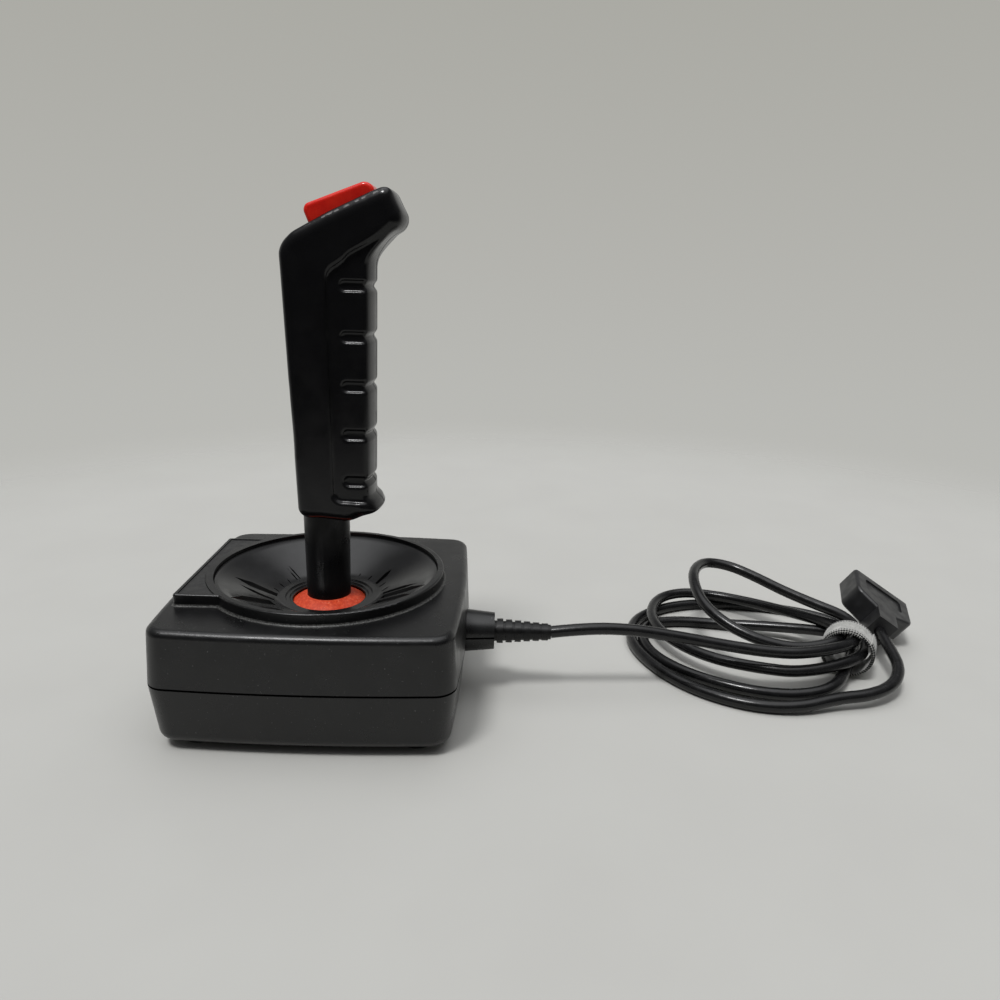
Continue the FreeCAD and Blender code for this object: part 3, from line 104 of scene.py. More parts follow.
def through_tie(side, rise):
    """Both ends of a strand's straight stretch in the tie, this far from the tie's middle line."""
    middle = TIE_CENTRE + TIE_SIDE * side + Vector((0, 0, rise))
    return [middle - TIE_WAY * STRAIGHT_HALF, middle + TIE_WAY * STRAIGHT_HALF]


def make_cord():
    route = [Vector(point) for point in LEAD]
    for (side, rise), turn in TURNS:
        route += through_tie(side, rise)
        route += [Vector(point) for point in turn]
    route += [Vector(point) for point in TAIL]
    data = bpy.data.curves.new("cord", "CURVE")
    data.dimensions = "3D"
    line = data.splines.new("NURBS")
    line.points.add(len(route) - 1)
    for point, place in zip(line.points, route):
        point.co = (*(place * MM), 1)
        point.radius = CORD_RADIUS * MM
    line.order_u = 3
    line.use_endpoint_u = True
    line.resolution_u = 8
    data.bevel_depth = 1
    data.bevel_resolution = 7
    data.use_fill_caps = True
    cord = add_object("cord", data)
    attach(cord, "base")
    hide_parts("cord_lead", "cord_coil", "cord_tail")
    return cord


cord = make_cord()


# Materials
class Finish:
    """A material whose colour, roughness and relief come from noise in the piece's own space."""

    def __init__(self, name, colour, roughness, **sockets):
        self.material = bpy.data.materials.new(name)
        self.material.use_nodes = True
        self.tree = self.material.node_tree
        self.tree.nodes.clear()
        self.output = self.add("ShaderNodeOutputMaterial")
        self.shader = self.add("ShaderNodeBsdfPrincipled")
        self.link(self.shader.outputs[0], self.output.inputs[0])
        self.colour = (*colour, 1)
        self.shader.inputs["Base Color"].default_value = self.colour
        self.shader.inputs["Roughness"].default_value = roughness
        for socket, value in sockets.items():
            self.shader.inputs[socket.replace("_", " ")].default_value = value
        self.space = self.add("ShaderNodeTexCoord").outputs["Object"]
        self.relief = None

    def add(self, kind, **settings):
        node = self.tree.nodes.new(kind)
        for name, value in settings.items():
            setattr(node, name, value)
        return node

    def link(self, source, target):
        self.tree.links.new(source, target)

    def noise(self, size_mm, detail, stretch=None):
        place = self.space
        if stretch:
            mapping = self.add("ShaderNodeMapping")
            mapping.inputs["Scale"].default_value = stretch
            self.link(place, mapping.inputs["Vector"])
            place = mapping.outputs[0]
        noise = self.add("ShaderNodeTexNoise")
        noise.inputs["Scale"].default_value = 1 / (size_mm * MM)
        noise.inputs["Detail"].default_value = detail
        self.link(place, noise.inputs["Vector"])
        return noise.outputs[0]

    def spread(self, value, low, high, from_low=0.35, from_high=0.65):
        ranged = self.add("ShaderNodeMapRange")
        numbers = {"From Min": from_low, "From Max": from_high, "To Min": low, "To Max": high}
        for socket, number in numbers.items():
            ranged.inputs[socket].default_value = number
        self.link(value, ranged.inputs["Value"])
        return ranged.outputs[0]

    def vary_colour(self, value, other):
        """Mixes another colour in where value is high."""
        mix = self.add("ShaderNodeMix", data_type="RGBA")
        source = self.shader.inputs["Base Color"]
        if source.is_linked:
            self.link(source.links[0].from_socket, mix.inputs["A"])
        else:
            mix.inputs["A"].default_value = self.colour
        mix.inputs["B"].default_value = (*other, 1)
        self.link(value, mix.inputs["Factor"])
        self.link(mix.outputs["Result"], source)

    def spots(self, size_mm, detail, other, start=0.35, end=0.65):
        """Mixes another colour in where a noise rises from start to end."""
        self.vary_colour(self.spread(self.noise(size_mm, detail), 0, 1, start, end), other)

    def vary_roughness(self, size_mm, detail, low, high, stretch=None):
        patches = self.spread(self.noise(size_mm, detail, stretch), low, high)
        self.link(patches, self.shader.inputs["Roughness"])

    def grain(self, size_mm, detail, depth_mm, strength, stretch=None):
        """Adds bumps of a noise to those already there."""
        bump = self.add("ShaderNodeBump")
        bump.inputs["Strength"].default_value = strength
        bump.inputs["Distance"].default_value = depth_mm * MM
        self.link(self.noise(size_mm, detail, stretch), bump.inputs["Height"])
        if self.relief:
            self.link(self.relief, bump.inputs["Normal"])
        self.relief = bump.outputs[0]
        self.link(self.relief, self.shader.inputs["Normal"])

    def along(self, axis):
        """How far a spot lies along one axis of the piece's own space."""
        parts = self.add("ShaderNodeSeparateXYZ")
        self.link(self.space, parts.inputs[0])
        return parts.outputs[axis]

    def reckon(self, operation, *values, kind="ShaderNodeMath"):
        """One step of arithmetic on sockets and numbers."""
        node = self.add(kind, operation=operation)
        for target, value in zip(node.inputs, values):
            if isinstance(value, bpy.types.NodeSocket):
                self.link(value, target)
            else:
                target.default_value = value
        return node


# The dark joint of the case's halves: its height, and how far from it the dark ends
PARTING, JOINT_DARK, JOINT_CLEAR = 25.8, 0.34, 0.46
CASE_SHINE = 0.47


def case_finish():
    """Grained moulded plastic, with the dark joint between the two halves."""
    look = Finish("case_black", (0.0035, 0.0035, 0.0038), 0.3, Specular_IOR_Level=CASE_SHINE)
    look.spots(14, 5, (0.006, 0.0062, 0.0064), 0.4, 0.75)
    look.spots(0.9, 2, (0.07, 0.07, 0.07), 0.71, 0.76)
    look.vary_roughness(9, 4, 0.26, 0.36)
    look.grain(0.3, 2, 0.05, 0.6)
    above = look.reckon("SUBTRACT", look.along("Z"), PARTING * MM)
    apart = look.reckon("ABSOLUTE", above.outputs[0])
    seam = look.spread(apart.outputs[0], 1, 0, JOINT_DARK * MM, JOINT_CLEAR * MM)
    look.vary_colour(seam, (0.0008, 0.0008, 0.0008))
    look.link(look.spread(seam, CASE_SHINE, 0, 0, 1), look.shader.inputs["Specular IOR Level"])
    return look.material


# Grain painted lighter than the case, with pale specks: a painted highlight along the fillet at the ring's
# foot
def fillet_highlight_finish():
    look = Finish("fillet_painted_highlight", (0.012, 0.012, 0.012), 0.4)
    look.spots(0.5, 3, (0.085, 0.085, 0.08), 0.42, 0.62)
    look.grain(0.35, 2, 0.08, 0.9)
    return look.material


def bowl_finish():
    look = Finish("bowl_black", (0.008, 0.008, 0.0083), 0.2)
    look.spots(11, 5, (0.012, 0.012, 0.0125), 0.45, 0.75)
    look.spots(0.6, 2, (0.06, 0.06, 0.06), 0.76, 0.8)
    look.vary_roughness(7, 4, 0.15, 0.25)
    look.grain(0.35, 2, 0.015, 0.22)
    return look.material


# Grooves darker than the bowl, with a weaker reflection: painted shade in the carved recesses, on a matte
# grain
def groove_shade_finish():
    look = Finish("groove_painted_shade", (0.003, 0.003, 0.003), 0.5, Specular_IOR_Level=0.25)
    look.spots(1.5, 3, (0.005, 0.005, 0.005))
    look.grain(0.5, 2, 0.03, 0.4)
    return look.material


def label_finish():
    look = Finish("label_black", (0.009, 0.009, 0.0095), 0.4)
    look.spots(4, 4, (0.015, 0.015, 0.0155))
    look.vary_roughness(2.5, 3, 0.32, 0.5)
    look.grain(0.5, 2, 0.03, 0.5, (1, 6, 1))
    return look.material


# The light rim of the grip's sloped top: wear, and a painted highlight along the edge. The slope rises by the
# first number below along Y, from the second where Y is 0. The light begins over the first pair of depths
# under the slope and ends over the second pair. It begins sideways over the third pair, measured from the
# middle plane
RIM_SLOPE, RIM_HEIGHT = 0.4645, 183.6
WEAR_HIGHLIGHT_FOOT, WEAR_HIGHLIGHT_TOP = (1.8, 1.5), (0.5, 0.3)
WEAR_HIGHLIGHT_SIDE = (11.3, 11.9)


def grip_finish():
    look = Finish("grip_black", (0.005, 0.005, 0.0055), 0.2, Specular_IOR_Level=0.3)
    look.spots(16, 5, (0.0065, 0.0065, 0.007), 0.45, 0.8)
    look.vary_roughness(8, 4, 0.14, 0.26)
    look.grain(5, 2, 0.06, 0.12)
    look.grain(0.4, 2, 0.01, 0.2)
    level = look.reckon("DOT_PRODUCT", look.space, (0, -RIM_SLOPE, 1), kind="ShaderNodeVectorMath")
    aside = look.reckon("ABSOLUTE", look.along("X"))
    foot, top = ([(RIM_HEIGHT - depth) * MM for depth in depths] for depths in (WEAR_HIGHLIGHT_FOOT, WEAR_HIGHLIGHT_TOP))
    # Light chips near the rim, set by noise: wear, and a painted highlight along the edge
    wear_and_highlight = look.spread(look.noise(2, 4), 0, 1, 0.45, 0.52)
    for share in (look.spread(level.outputs["Value"], 0, 1, *foot),
                  look.spread(level.outputs["Value"], 1, 0, *top),
                  look.spread(aside.outputs[0], 0, 1, *(reach * MM for reach in WEAR_HIGHLIGHT_SIDE))):
        wear_and_highlight = look.reckon("MULTIPLY", wear_and_highlight, share).outputs[0]
    look.vary_colour(wear_and_highlight, (0.2, 0.2, 0.2))
    return look.material


def shaft_finish():
    look = Finish("shaft_black", (0.004, 0.004, 0.0043), 0.32, Specular_IOR_Level=0.25)
    look.spots(9, 4, (0.0065, 0.0065, 0.007))
    look.vary_roughness(6, 4, 0.26, 0.4)
    look.grain(0.4, 2, 0.015, 0.3, (1, 1, 0.3))
    return look.material


def button_finish():
    look = Finish("button_red", (0.72, 0.017, 0.01), 0.2, Specular_IOR_Level=0.3)
    look.spots(6, 4, (0.8, 0.026, 0.013))
    look.vary_roughness(4, 3, 0.15, 0.28)
    look.grain(1.2, 2, 0.02, 0.2)
    return look.material


def dome_finish():
    look = Finish("dome_red", (0.54, 0.045, 0.014), 0.45, Specular_IOR_Level=0.3)
    look.spots(1.1, 3, (0.68, 0.085, 0.032), 0.45, 0.62)
    # Sparse pale specks on the red: painted glints
    look.spots(0.6, 2, (0.85, 0.42, 0.26), 0.68, 0.74)
    look.vary_roughness(2, 3, 0.28, 0.55)
    look.grain(0.7, 3, 0.12, 0.6)
    return look.material


def cord_finish():
    look = Finish("cord_black", (0.0045, 0.0045, 0.0048), 0.22, Specular_IOR_Level=0.4)
    look.spots(5, 4, (0.007, 0.007, 0.0073))
    look.vary_roughness(3, 3, 0.16, 0.3)
    look.grain(0.5, 3, 0.012, 0.22)
    return look.material


def tie_finish():
    look = Finish("tie_grey", (0.42, 0.42, 0.4), 0.85, Sheen_Weight=0.2, Sheen_Roughness=0.5)
    look.spots(0.5, 3, (0.25, 0.25, 0.238), 0.42, 0.6)
    look.spots(4, 3, (0.47, 0.465, 0.445), 0.5, 0.7)
    look.grain(0.45, 2, 0.25, 0.9)
    return look.material


def stitch_finish():
    look = Finish("stitch_dark", (0.01, 0.01, 0.011), 0.8, Specular_IOR_Level=0.2)
    look.spots(0.4, 2, (0.02, 0.02, 0.02))
    look.grain(0.25, 2, 0.1, 0.6)
    return look.material


def relief_finish():
    look = Finish("relief_black", (0.003, 0.003, 0.0032), 0.34, Specular_IOR_Level=0.3)
    look.spots(4, 4, (0.006, 0.006, 0.006))
    look.vary_roughness(3, 3, 0.26, 0.42)
    look.grain(0.4, 3, 0.03, 0.5)
    return look.material


def plug_finish():
    look = Finish("plug_black", (0.012, 0.012, 0.0125), 0.38)
    look.spots(7, 4, (0.018, 0.018, 0.019))
    look.vary_roughness(5, 3, 0.28, 0.46)
    look.grain(0.45, 2, 0.03, 0.4)
    return look.material


def rubber_finish():
    look = Finish("foot_rubber", (0.03, 0.03, 0.03), 0.8)
    look.spots(3, 4, (0.05, 0.049, 0.047))
    look.grain(0.5, 3, 0.08, 0.6)
    return look.material


# How much finer a brushed metal's grain is along each axis
BRUSHED = (1, 1, 12)


def metal_finish(name, colour, roughness):
    look = Finish(name, colour, roughness, Metallic=1.0)
    look.spots(2.5, 4, tuple(part * 0.75 for part in colour))
    look.vary_roughness(1.2, 3, roughness * 0.7, min(1, roughness * 1.5), BRUSHED)
    look.grain(0.4, 2, 0.02, 0.3, BRUSHED)
    return look.material


def moulded_finish(name, colour, roughness):
    look = Finish(name, colour, roughness)
    look.spots(3, 4, tuple(part * 0.8 for part in colour))
    look.vary_roughness(2, 3, roughness * 0.8, min(1, roughness * 1.25))
    look.grain(0.4, 2, 0.03, 0.4)
    return look.material


# Each look, with the solids that keep it. Those whose list is empty are for pieces made below
LOOKS = {
    "case_black": (case_finish(), ["upper_case", "lower_case"]),
    "fillet_painted_highlight": (fillet_highlight_finish(), []),
    "label_black": (label_finish(), ["label_panel"]),
    "bowl_black": (bowl_finish(), ["bowl_insert"]),
    "groove_painted_shade": (groove_shade_finish(), []),
    "grip_black": (grip_finish(), ["grip_right", "grip_left"]),
    "shaft_black": (shaft_finish(), ["stick_shaft"]),
    "button_red": (button_finish(), ["fire_button"]),
    "dome_red": (dome_finish(), ["pivot_dome"]),
    "cord_black": (cord_finish(), []),
    "relief_black": (relief_finish(), ["strain_relief"]),
    "tie_grey": (tie_finish(), ["cord_tie"]),
    "stitch_dark": (stitch_finish(), []),
    "plug_black": (plug_finish(), ["plug_hood"]),
    "socket_black": (moulded_finish("socket_black", (0.02, 0.02, 0.021), 0.5), ["plug_socket"]),
    "foot_rubber": (rubber_finish(), ["rubber_feet"]),
    "screw_steel": (metal_finish("screw_steel", (0.5, 0.5, 0.5), 0.34),
                    ["case_screws", "board_screws", "grip_screws"]),
    "pin_steel": (metal_finish("pin_steel", (0.56, 0.56, 0.57), 0.22),
                  ["cross_pin", "trunnion_pins", "shaft_lock_pin"]),
    "dome_steel": (metal_finish("dome_steel", (0.68, 0.67, 0.64), 0.25), ["snap_domes"]),
    "contact_metal": (metal_finish("contact_metal", (0.8, 0.6, 0.27), 0.25), ["plug_contacts"]),
    "hinge_nylon": (moulded_finish("hinge_nylon", (0.68, 0.66, 0.6), 0.45), ["gimbal_ring", "actuator"]),
    "board_brown": (moulded_finish("board_brown", (0.3, 0.19, 0.08), 0.5), ["circuit_board"]),
    "switch_black": (moulded_finish("switch_black", (0.03, 0.03, 0.03), 0.5),
                     ["fire_switch", "switch_plunger"]),
    "wire_tan": (moulded_finish("wire_tan", (0.42, 0.33, 0.22), 0.5), ["inner_leads", "fire_wires"]),
}
for look, names in LOOKS.values():
    for name in names:
        data = nodes[name].data
        data.materials.clear()
        data.materials.append(look)
cord.data.materials.append(LOOKS["cord_black"][0])


def make_piece(name, mesh, look, body, slot, *replaced):
    mesh.materials.append(LOOKS[look][0])
    piece = add_object(name, mesh)
    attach(piece, body)
    if replaced:
        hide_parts(*replaced)


def finish_mesh(name, form, smooth=True):
    bmesh.ops.recalc_face_normals(form, faces=form.faces)
    mesh = bpy.data.meshes.new(name)
    form.to_mesh(mesh)
    form.free()
    if smooth:
        mesh.polygons.foreach_set("use_smooth", [True] * len(mesh.polygons))
    return mesh


def join_rows(form, rows, capped=False):
    """Faces between each row of corners and the next. A row is a closed loop."""
    for here, there in zip(rows, rows[1:]):
        for index in range(len(here)):
            following = (index + 1) % len(here)
            form.faces.new((here[index], there[index], there[following], here[following]))
    if capped:
        form.faces.new(rows[0])
        form.faces.new(list(reversed(rows[-1])))


def applied(piece):
    """The mesh that a piece has with its modifiers. The piece itself goes."""
    bpy.context.view_layer.update()
    mesh = bpy.data.meshes.new_from_object(piece.evaluated_get(bpy.context.evaluated_depsgraph_get()))
    bpy.data.objects.remove(piece)
    return mesh


# Bowl: a turned profile whose cone carries carved rays.
# Each ray: outer radius and angle, inner radius and angle, half width
RAYS = [
    (37, -84, 20.4, -79, 1.75), (34.4, -75.5, 22, -62, 1.1), (42, -45, 24.2, -50, 3.4),
    (41.6, -24, 30, -24, 2.6), (42, -8, 25, -12, 2.9), (41.4, 9, 28, 6, 2.2), (42, 26, 24.5, 21, 3.2),
    (41.9, 44, 26, 40, 2.7), (42, 59, 23.6, 60, 2.9), (42, 73, 22.6, 77, 2.5), (36.6, 82.5, 21.8, 88.5, 1.2),
    (29.3, 128.6, 20.5, 122.5, 1), (29, -132, 20.4, -132.4, 0.28), (26, -129, 20.4, -128.2, 0.28),
    (23, 140, 20.3, 139, 0.28), (23.8, 113.6, 20.6, 111.4, 0.34), (24.3, 101, 20.9, 97, 0.4),
    (22.4, 155, 20.3, 155, 0.2), (22.8, -118.7, 20.3, -117, 0.22), (23, -105.5, 20.3, -104, 0.26),
    (23, -92.5, 20.4, -89.5, 0.3),
]
RAY_DEPTH = 1.3
# A cutter's half widths above the cone and on the groove's floor, as shares of the ray's, and its rise
CUTTER_TOP, CUTTER_FLOOR, CUTTER_RISE = 1.12, 0.78, 0.8
# Radius and height of the cone's two edges
CONE_LOW, CONE_HIGH = (20, 40.4), (42.3, 50.4)
# Radii and heights of the steps round the opening, and of the rim with the hidden underside
BOWL_STEPS = [(14.5, 38.6), (14.5, 39.05), (14.65, 39.2), (15.45, 39.2), (15.6, 39.35), (15.6, 39.65),
              (15.75, 39.8), (17.05, 39.8), (17.2, 39.95), (17.2, 40.25), (17.35, 40.4), (19.6, 40.4)]
BOWL_RIM = [(42.6, 50.4), (43.45, 50.4), (43.6, 50.25), (43.6, 48.02), (40.7, 48.02), (40.7, 47.3),
            (20.6, 38.6)]


def cone_height(radius):
    return CONE_LOW[1] + (CONE_HIGH[1] - CONE_LOW[1]) * (radius - CONE_LOW[0]) / (CONE_HIGH[0] - CONE_LOW[0])


def turned(name, profile):
    """A closed profile of radii and heights turned round the Z axis."""
    form = bmesh.new()
    spokes = 360
    rows = []
    for spoke in range(spokes):
        turn = math.tau * spoke / spokes
        rows.append([form.verts.new((radius * math.cos(turn) * MM, radius * math.sin(turn) * MM, height * MM))
                     for radius, height in profile])
    join_rows(form, rows + rows[:1])
    return finish_mesh(name, form, smooth=False)


def ray_cutters():
    """Blades from above the cone to the grooves' floors, pointed outside and widest at two fifths."""
    form = bmesh.new()
    for outer, outer_angle, inner, inner_angle, half_width in RAYS:
        rows = []
        for along in (0, 0.08, 0.18, 0.385, 0.6, 0.8, 1):
            radius = outer + (inner - outer) * along
            turn = math.radians(outer_angle + (inner_angle - outer_angle) * along)
            reach = 1.25 * half_width * min(1, 2.6 * along + 0.02, 1.25 - 0.55 * along)
            floor = -RAY_DEPTH * min(1, 0.25 + 3 * along)
            row = []
            for side, lift in ((-CUTTER_TOP, CUTTER_RISE), (-CUTTER_FLOOR, floor), (CUTTER_FLOOR, floor),
                               (CUTTER_TOP, CUTTER_RISE)):
                x = radius * math.cos(turn) - reach * side * math.sin(turn)
                y = radius * math.sin(turn) + reach * side * math.cos(turn)
                row.append(form.verts.new((x * MM, y * MM, (cone_height(radius) + lift) * MM)))
            rows.append(row)
        join_rows(form, rows, capped=True)
    return finish_mesh("ray_cutters", form, smooth=False)


def in_a_groove(place):
    """Whether a spot of the carved cone lies under the cone's own face."""
    radius = math.hypot(place.x, place.y)
    under = cone_height(radius) - place.z
    return CONE_LOW[0] + 0.1 < radius < CONE_HIGH[0] - 0.1 and 0.05 < under < RAY_DEPTH + 0.3


def make_bowl():
    cone = [(radius, cone_height(radius)) for radius in (*range(CONE_LOW[0], 42, 2), CONE_HIGH[0])]
    whole = add_object("whole_bowl", turned("whole_bowl", BOWL_STEPS + cone + BOWL_RIM))
    cutters = add_object("ray_cutters", ray_cutters())
    carve = whole.modifiers.new("carve", "BOOLEAN")
    carve.operation = "DIFFERENCE"
    carve.solver = "EXACT"
    carve.use_self = True
    carve.object = cutters
    mesh = applied(whole)
    bpy.data.objects.remove(cutters)
    mesh.name = "carved_bowl"
    mesh.polygons.foreach_set("use_smooth", [True] * len(mesh.polygons))
    mesh.set_sharp_from_angle(angle=math.radians(25))
    mesh.materials.clear()
    make_piece("carved_bowl", mesh, "bowl_black", "base", "bowl_plastic", "bowl_insert")
    # The grooves' faces take the look with painted shade
    mesh.materials.append(LOOKS["groove_painted_shade"][0])
    for face in mesh.polygons:
        if in_a_groove(face.center / MM):
            face.material_index = 1


make_bowl()


# The small hollow fillet round the foot of the raised ring and panel, its grain painted light: a painted
# highlight along the foot
RING_RADIUS, PANEL_HALF, PANEL_FRONT, PANEL_CORNER, CASE_TOP = 46.4, 32, 50.4, 1.2, 47.2
# Steps out from the raised wall and up from the case's top
FOOT_PROFILE = [(-0.1, -0.1), (-0.1, 0.85), (0.03, 0.85), (0.1, 0.5), (0.26, 0.26), (0.5, 0.1), (0.85, 0.03),
                (0.85, -0.1)]


def heading(turn):
    return Vector((math.cos(turn), math.sin(turn), 0))


def make_ring_foot():
    start = -math.acos(PANEL_HALF / RING_RADIUS)
    end = math.pi - start
    steps = 180
    path = []
    for step in range(steps + 1):
        away = heading(start + (end - start) * step / steps)
        path.append((away * RING_RADIUS, away))
    middle = PANEL_HALF - PANEL_CORNER
    for centre_x, turns in ((-middle, (180, 202, 225, 248, 270)), (middle, (270, 292, 315, 338, 360))):
        for turn in turns:
            away = heading(math.radians(turn))
            path.append((Vector((centre_x, PANEL_CORNER - PANEL_FRONT, 0)) + away * PANEL_CORNER, away))
    form = bmesh.new()
    rows = [[form.verts.new((place + away * out + Vector((0, 0, CASE_TOP + rise))) * MM)
             for out, rise in FOOT_PROFILE] for place, away in path]
    join_rows(form, rows + rows[:1])
    mesh = finish_mesh("ring_foot", form)
    mesh.set_sharp_from_angle(angle=math.radians(50))
    make_piece("ring_foot", mesh, "fillet_painted_highlight", "base", "case_plastic")


make_ring_foot()


# Grip: softened copies of the moulded halves, a little slimmer than the solids, and their screws.
# How far the palm side moves in at a height, and how far the foot moves up at a place along Y
PALM_SHIFT = ((73, 1), (99, 1.2), (125, 2.3), (200, 2.6))
FOOT_LIFT = ((-10, 2.4), (0, 2.2), (9, 1.4), (20, 2.2), (40, 2.2))
# The grip's half width, and the share of it that stays beyond SIDE_FROM
HALF_WIDTH, SIDE_FROM, SIDE_SHARE = 13, 8, 0.83


def eased(value, low, high):
    """Climbs from 0 at low to 1 at high with level ends, and stays there. High may be the smaller."""
    share = min(1, max(0, (value - low) / (high - low)))
    return share * share * (3 - 2 * share)


def straight(value, low, high):
    """Climbs from 0 at low to 1 at high in a straight line, and stays there. High may be the smaller."""
    return min(1, max(0, (value - low) / (high - low)))


def follow(value, *stops):
    """What the line through these stops gives at a value, each stop being a value and its result."""
    for (low, here), (high, there) in zip(stops, stops[1:]):
        if value <= high:
            return here + (there - here) * max(0, value - low) / (high - low)
    return stops[-1][1]


def slimmed(place):
    """Where a spot of the solid grip goes: inwards, up at the foot, and down at the palm end of the slope."""
    x, y, z = place
    side = min(abs(x), SIDE_FROM + (abs(x) - SIDE_FROM) * SIDE_SHARE)
    rounding = (x / HALF_WIDTH) ** 2
    palm = follow(z, *PALM_SHIFT) + 1.1 * eased(abs(x), 4, 11) * eased(z, 130, 100)
    palm *= straight(y, 6, -11)
    finger = 1.4 * eased(y, 11, 16) * eased(z, 82.4, 84.8) + 2.3 * rounding * eased(y, 9, 18)
    finger *= eased(z, 178, 168)
    nose = (0.5 + 2.2 * rounding) * eased(y, 25, 33) * eased(z, 164, 172)
    foot = follow(y, *FOOT_LIFT) * eased(z, 85 - 4 * eased(y, 10, 20), 74)
    lip = 1.2 * eased(y, 20, 22.5) * eased(z, 79, 82) * eased(z, 88, 84)
    slope = 2 * eased(z, 165, 180) * straight(y, 21, -10)
    return math.copysign(side, x), y + palm - finger - nose, z + foot - lip - slope


def softened(mesh):
    """A copy with rounder edges."""
    rough = add_object("rough_grip", mesh)
    melt = rough.modifiers.new("melt", "REMESH")
    melt.mode = "VOXEL"
    melt.voxel_size = 0.5 * MM
    melt.use_smooth_shade = True
    ease = rough.modifiers.new("ease", "SMOOTH")
    ease.factor = 0.5
    ease.iterations = 4
    return applied(rough)


def make_grip():
    for node, look, slot in (("grip_right", "grip_black", "grip_plastic"),
                             ("grip_left", "grip_black", "grip_plastic"),
                             ("grip_screws", "screw_steel", "screw_steel")):
        mesh = nodes[node].data.copy()
        if look == "grip_black":
            mesh = softened(mesh)
        for vertex in mesh.vertices:
            vertex.co = Vector(slimmed(vertex.co / MM)) * MM
        if "custom_normal" in mesh.attributes:
            mesh.attributes.remove(mesh.attributes["custom_normal"])
        mesh.materials.clear()
        make_piece("soft_" + node, mesh, look, "stick", slot, node)


make_grip()


# Hook-and-loop tie: a strap wound nearly twice round the cords, with dark stitches along both edges
TIE_HALF_WIDTH, TIE_THICK, TIE_TURNS = 5.8, 0.98, 1.93
TIE_INNER, TIE_OUTER = 9.2, 11.42
# The strap's section, as shares of its half width and of its thickness
TIE_SECTION = [(-1, 0.5), (-0.99, 0.9), (-0.96, 1), (-0.45, 1), (0, 1), (0.45, 1), (0.96, 1), (0.99, 0.9),
               (1, 0.5), (0.99, 0.1), (0.96, 0), (0, 0), (-0.96, 0), (-0.99, 0.1)]
# A stitch's section on the strap's edge, and the one on its outer face
STITCH_SECTIONS = [((0.985, 0.95), (1.035, 0.9), (1.035, 0.1), (0.985, 0.05)),
                   ((0.74, 0.96), (0.76, 1.08), (0.86, 1.08), (0.88, 0.96))]
STITCHES, STITCH_START, STITCH_END = 118, 0.2, 0.78


def on_the_strap(share, across, through):
    """A spot of the strap: along it from its inner end, across it and through it. It winds a little askew."""
    turn = share * TIE_TURNS * math.tau + math.radians(60)
    reach = TIE_INNER + (TIE_OUTER - TIE_INNER - TIE_THICK) * share + TIE_THICK * through
    slip = 1.5 * share - 0.85 + 0.15 * math.sin(share * 9)
    outward = TIE_SIDE * math.cos(turn) + Vector((0, 0, math.sin(turn)))
    return (TIE_CENTRE + TIE_WAY * (across * TIE_HALF_WIDTH + slip) + outward * reach) * MM


def make_tie():
    steps = 220
    form = bmesh.new()
    rows = [[form.verts.new(on_the_strap(step / steps, across, through)) for across, through in TIE_SECTION]
            for step in range(steps + 1)]
    join_rows(form, rows, capped=True)
    mesh = finish_mesh("hook_and_loop_tie", form)
    mesh.set_sharp_from_angle(angle=math.radians(40))
    make_piece("hook_and_loop_tie", mesh, "tie_grey", "base", "tie_fabric", "cord_tie")


def make_stitches():
    """Dark stitches that bind both edges of the strap, all along it."""
    form = bmesh.new()
    for edge in (-1, 1):
        for number in range(STITCHES):
            for section in STITCH_SECTIONS:
                rows = [[form.verts.new(on_the_strap((number + place) / STITCHES, edge * across, through))
                         for across, through in section] for place in (STITCH_START, STITCH_END)]
                join_rows(form, rows, capped=True)
    mesh = finish_mesh("tie_stitching", form, smooth=False)
    make_piece("tie_stitching", mesh, "stitch_dark", "base", "tie_fabric")


make_tie()
make_stitches()


# Floor, lamp and background. The floor fades from FLOOR_SOLID to FLOOR_END, measured from its middle
FLOOR_MIDDLE = Vector((-20, 100, 0))
FLOOR_SOLID, FLOOR_END = 340, 620


def make_floor():
    """A paper disc that fades into the background towards its rim."""
    form = bmesh.new()
    spokes = 96
    rows = [[form.verts.new((FLOOR_MIDDLE + heading(math.tau * step / spokes) * reach) * MM)
             for step in range(spokes)] for reach in (200, FLOOR_SOLID, 480, FLOOR_END + 10)]
    centre = form.verts.new(FLOOR_MIDDLE * MM)
    for step in range(spokes):
        form.faces.new((centre, rows[0][step], rows[0][(step + 1) % spokes]))
    join_rows(form, rows)
    mesh = finish_mesh("floor", form)
    look = Finish("paper", (0.47, 0.468, 0.446), 0.8, Specular_IOR_Level=0.2)
    look.spots(60, 3, (0.458, 0.455, 0.434))
    look.grain(0.6, 2, 0.02, 0.2)
    centred = look.reckon("SUBTRACT", look.space, FLOOR_MIDDLE * MM, kind="ShaderNodeVectorMath")
    reach = look.reckon("LENGTH", centred.outputs[0], kind="ShaderNodeVectorMath")
    fade = look.add("ShaderNodeMapRange", interpolation_type="SMOOTHSTEP")
    fade.inputs["From Min"].default_value = FLOOR_SOLID * MM
    fade.inputs["From Max"].default_value = FLOOR_END * MM
    look.link(reach.outputs["Value"], fade.inputs["Value"])
    clear = look.add("ShaderNodeBsdfTransparent")
    mix = look.add("ShaderNodeMixShader")
    look.link(fade.outputs[0], mix.inputs[0])
    look.link(look.shader.outputs[0], mix.inputs[1])
    look.link(clear.outputs[0], mix.inputs[2])
    look.link(mix.outputs[0], look.output.inputs[0])
    mesh.materials.append(look.material)
    floor = add_object("floor", mesh)


make_floor()


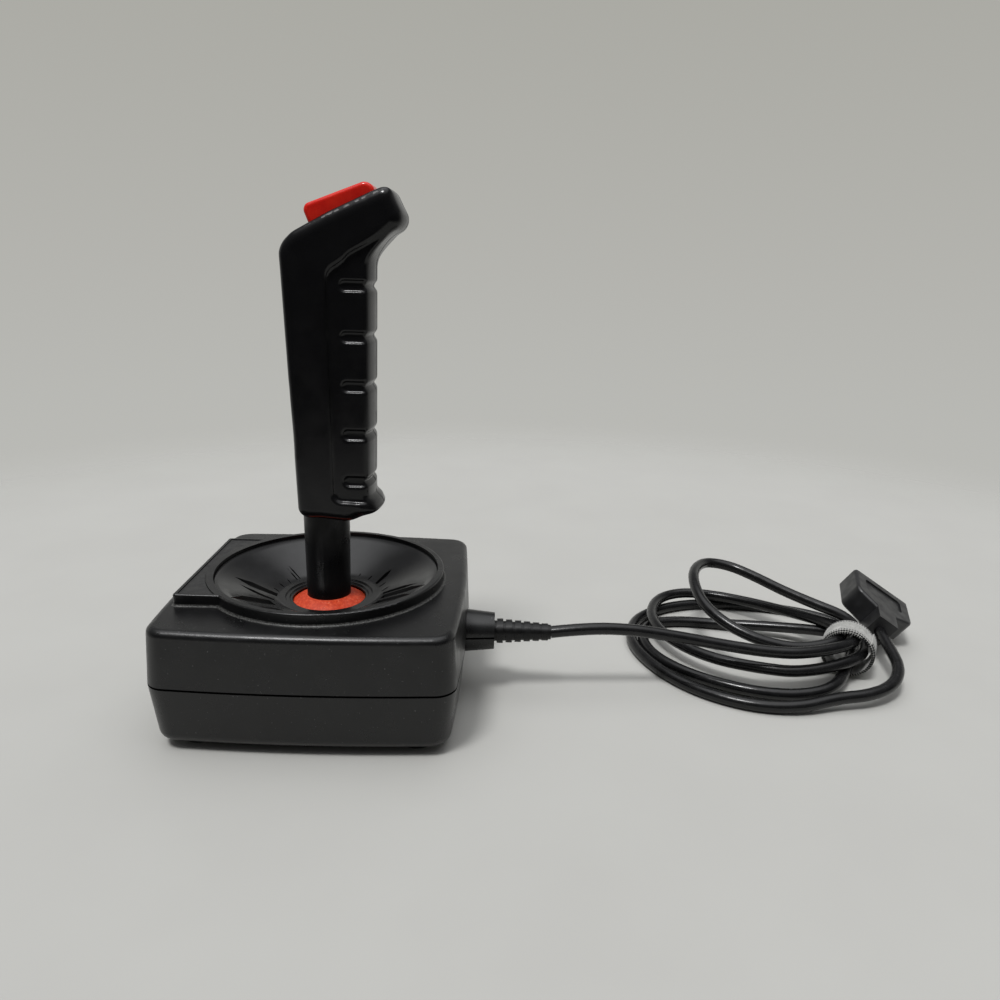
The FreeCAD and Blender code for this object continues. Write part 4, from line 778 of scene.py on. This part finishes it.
# Stops of the room's light by height: 0 is straight down, 0.5 level and 1 straight up.
# The backdrop is added where the room lies behind the object
OVERHEAD = ((0.5, (0.035, 0.035, 0.036)), (0.68, (0.075, 0.075, 0.077)), (0.86, (0.21, 0.212, 0.215)),
            (0.93, (1.3, 1.31, 1.33)), (1.0, (1.9, 1.92, 1.95)))
BACKDROP = ((0.46, (0.44, 0.44, 0.42)), (0.64, (0.42, 0.42, 0.4)), (0.76, (0, 0, 0)))
# What the camera sees of it
WALL = ((0.36, (0.5, 0.5, 0.475)), (0.43, (0.48, 0.48, 0.455)), (0.5, (0.455, 0.452, 0.425)),
        (0.64, (0.405, 0.402, 0.37)))
# The way the lamp shines, its strength and its width in degrees
LAMP_WAY, LAMP_ENERGY, LAMP_SPREAD = (-10, 7, -27.5), 1.75, 13


def make_lights():
    """A bright ceiling over a darker room, a plain pale background and one soft high lamp."""
    world = bpy.data.worlds.new("studio")
    scene.world = world
    world.use_nodes = True
    tree = world.node_tree

    def ramp(value, stops):
        node = tree.nodes.new("ShaderNodeValToRGB")
        node.color_ramp.elements.remove(node.color_ramp.elements[1])
        for number, (place, tone) in enumerate(stops):
            element = node.color_ramp.elements[0] if number == 0 else node.color_ramp.elements.new(place)
            element.position = place
            element.color = (*tone, 1)
        tree.links.new(value, node.inputs[0])
        return node.outputs[0]

    direction = tree.nodes.new("ShaderNodeTexCoord").outputs["Generated"]
    parts = tree.nodes.new("ShaderNodeSeparateXYZ")
    tree.links.new(direction, parts.inputs[0])
    height = tree.nodes.new("ShaderNodeMapRange")
    height.inputs["From Min"].default_value = -1
    tree.links.new(parts.outputs["Z"], height.inputs["Value"])
    behind = tree.nodes.new("ShaderNodeMapRange")
    behind.inputs["From Min"].default_value = 0.1
    behind.inputs["From Max"].default_value = -0.5
    tree.links.new(parts.outputs["X"], behind.inputs["Value"])
    room = tree.nodes.new("ShaderNodeMix")
    room.data_type = "RGBA"
    room.blend_type = "ADD"
    tree.links.new(behind.outputs[0], room.inputs["Factor"])
    tree.links.new(ramp(height.outputs[0], OVERHEAD), room.inputs["A"])
    tree.links.new(ramp(height.outputs[0], BACKDROP), room.inputs["B"])
    lit = tree.nodes["Background"]
    tree.links.new(room.outputs["Result"], lit.inputs["Color"])
    lit.inputs["Strength"].default_value = 1.0
    shown = tree.nodes.new("ShaderNodeBackground")
    tree.links.new(ramp(height.outputs[0], WALL), shown.inputs["Color"])
    path = tree.nodes.new("ShaderNodeLightPath")
    mix = tree.nodes.new("ShaderNodeMixShader")
    tree.links.new(path.outputs["Is Camera Ray"], mix.inputs[0])
    tree.links.new(lit.outputs[0], mix.inputs[1])
    tree.links.new(shown.outputs[0], mix.inputs[2])
    tree.links.new(mix.outputs[0], tree.nodes["World Output"].inputs[0])
    data = bpy.data.lights.new("ceiling_lamp", "SUN")
    data.energy = LAMP_ENERGY
    data.angle = math.radians(LAMP_SPREAD)
    lamp = add_object("ceiling_lamp", data)
    lamp.rotation_euler = Vector(LAMP_WAY).to_track_quat("-Z", "Y").to_euler()


make_lights()
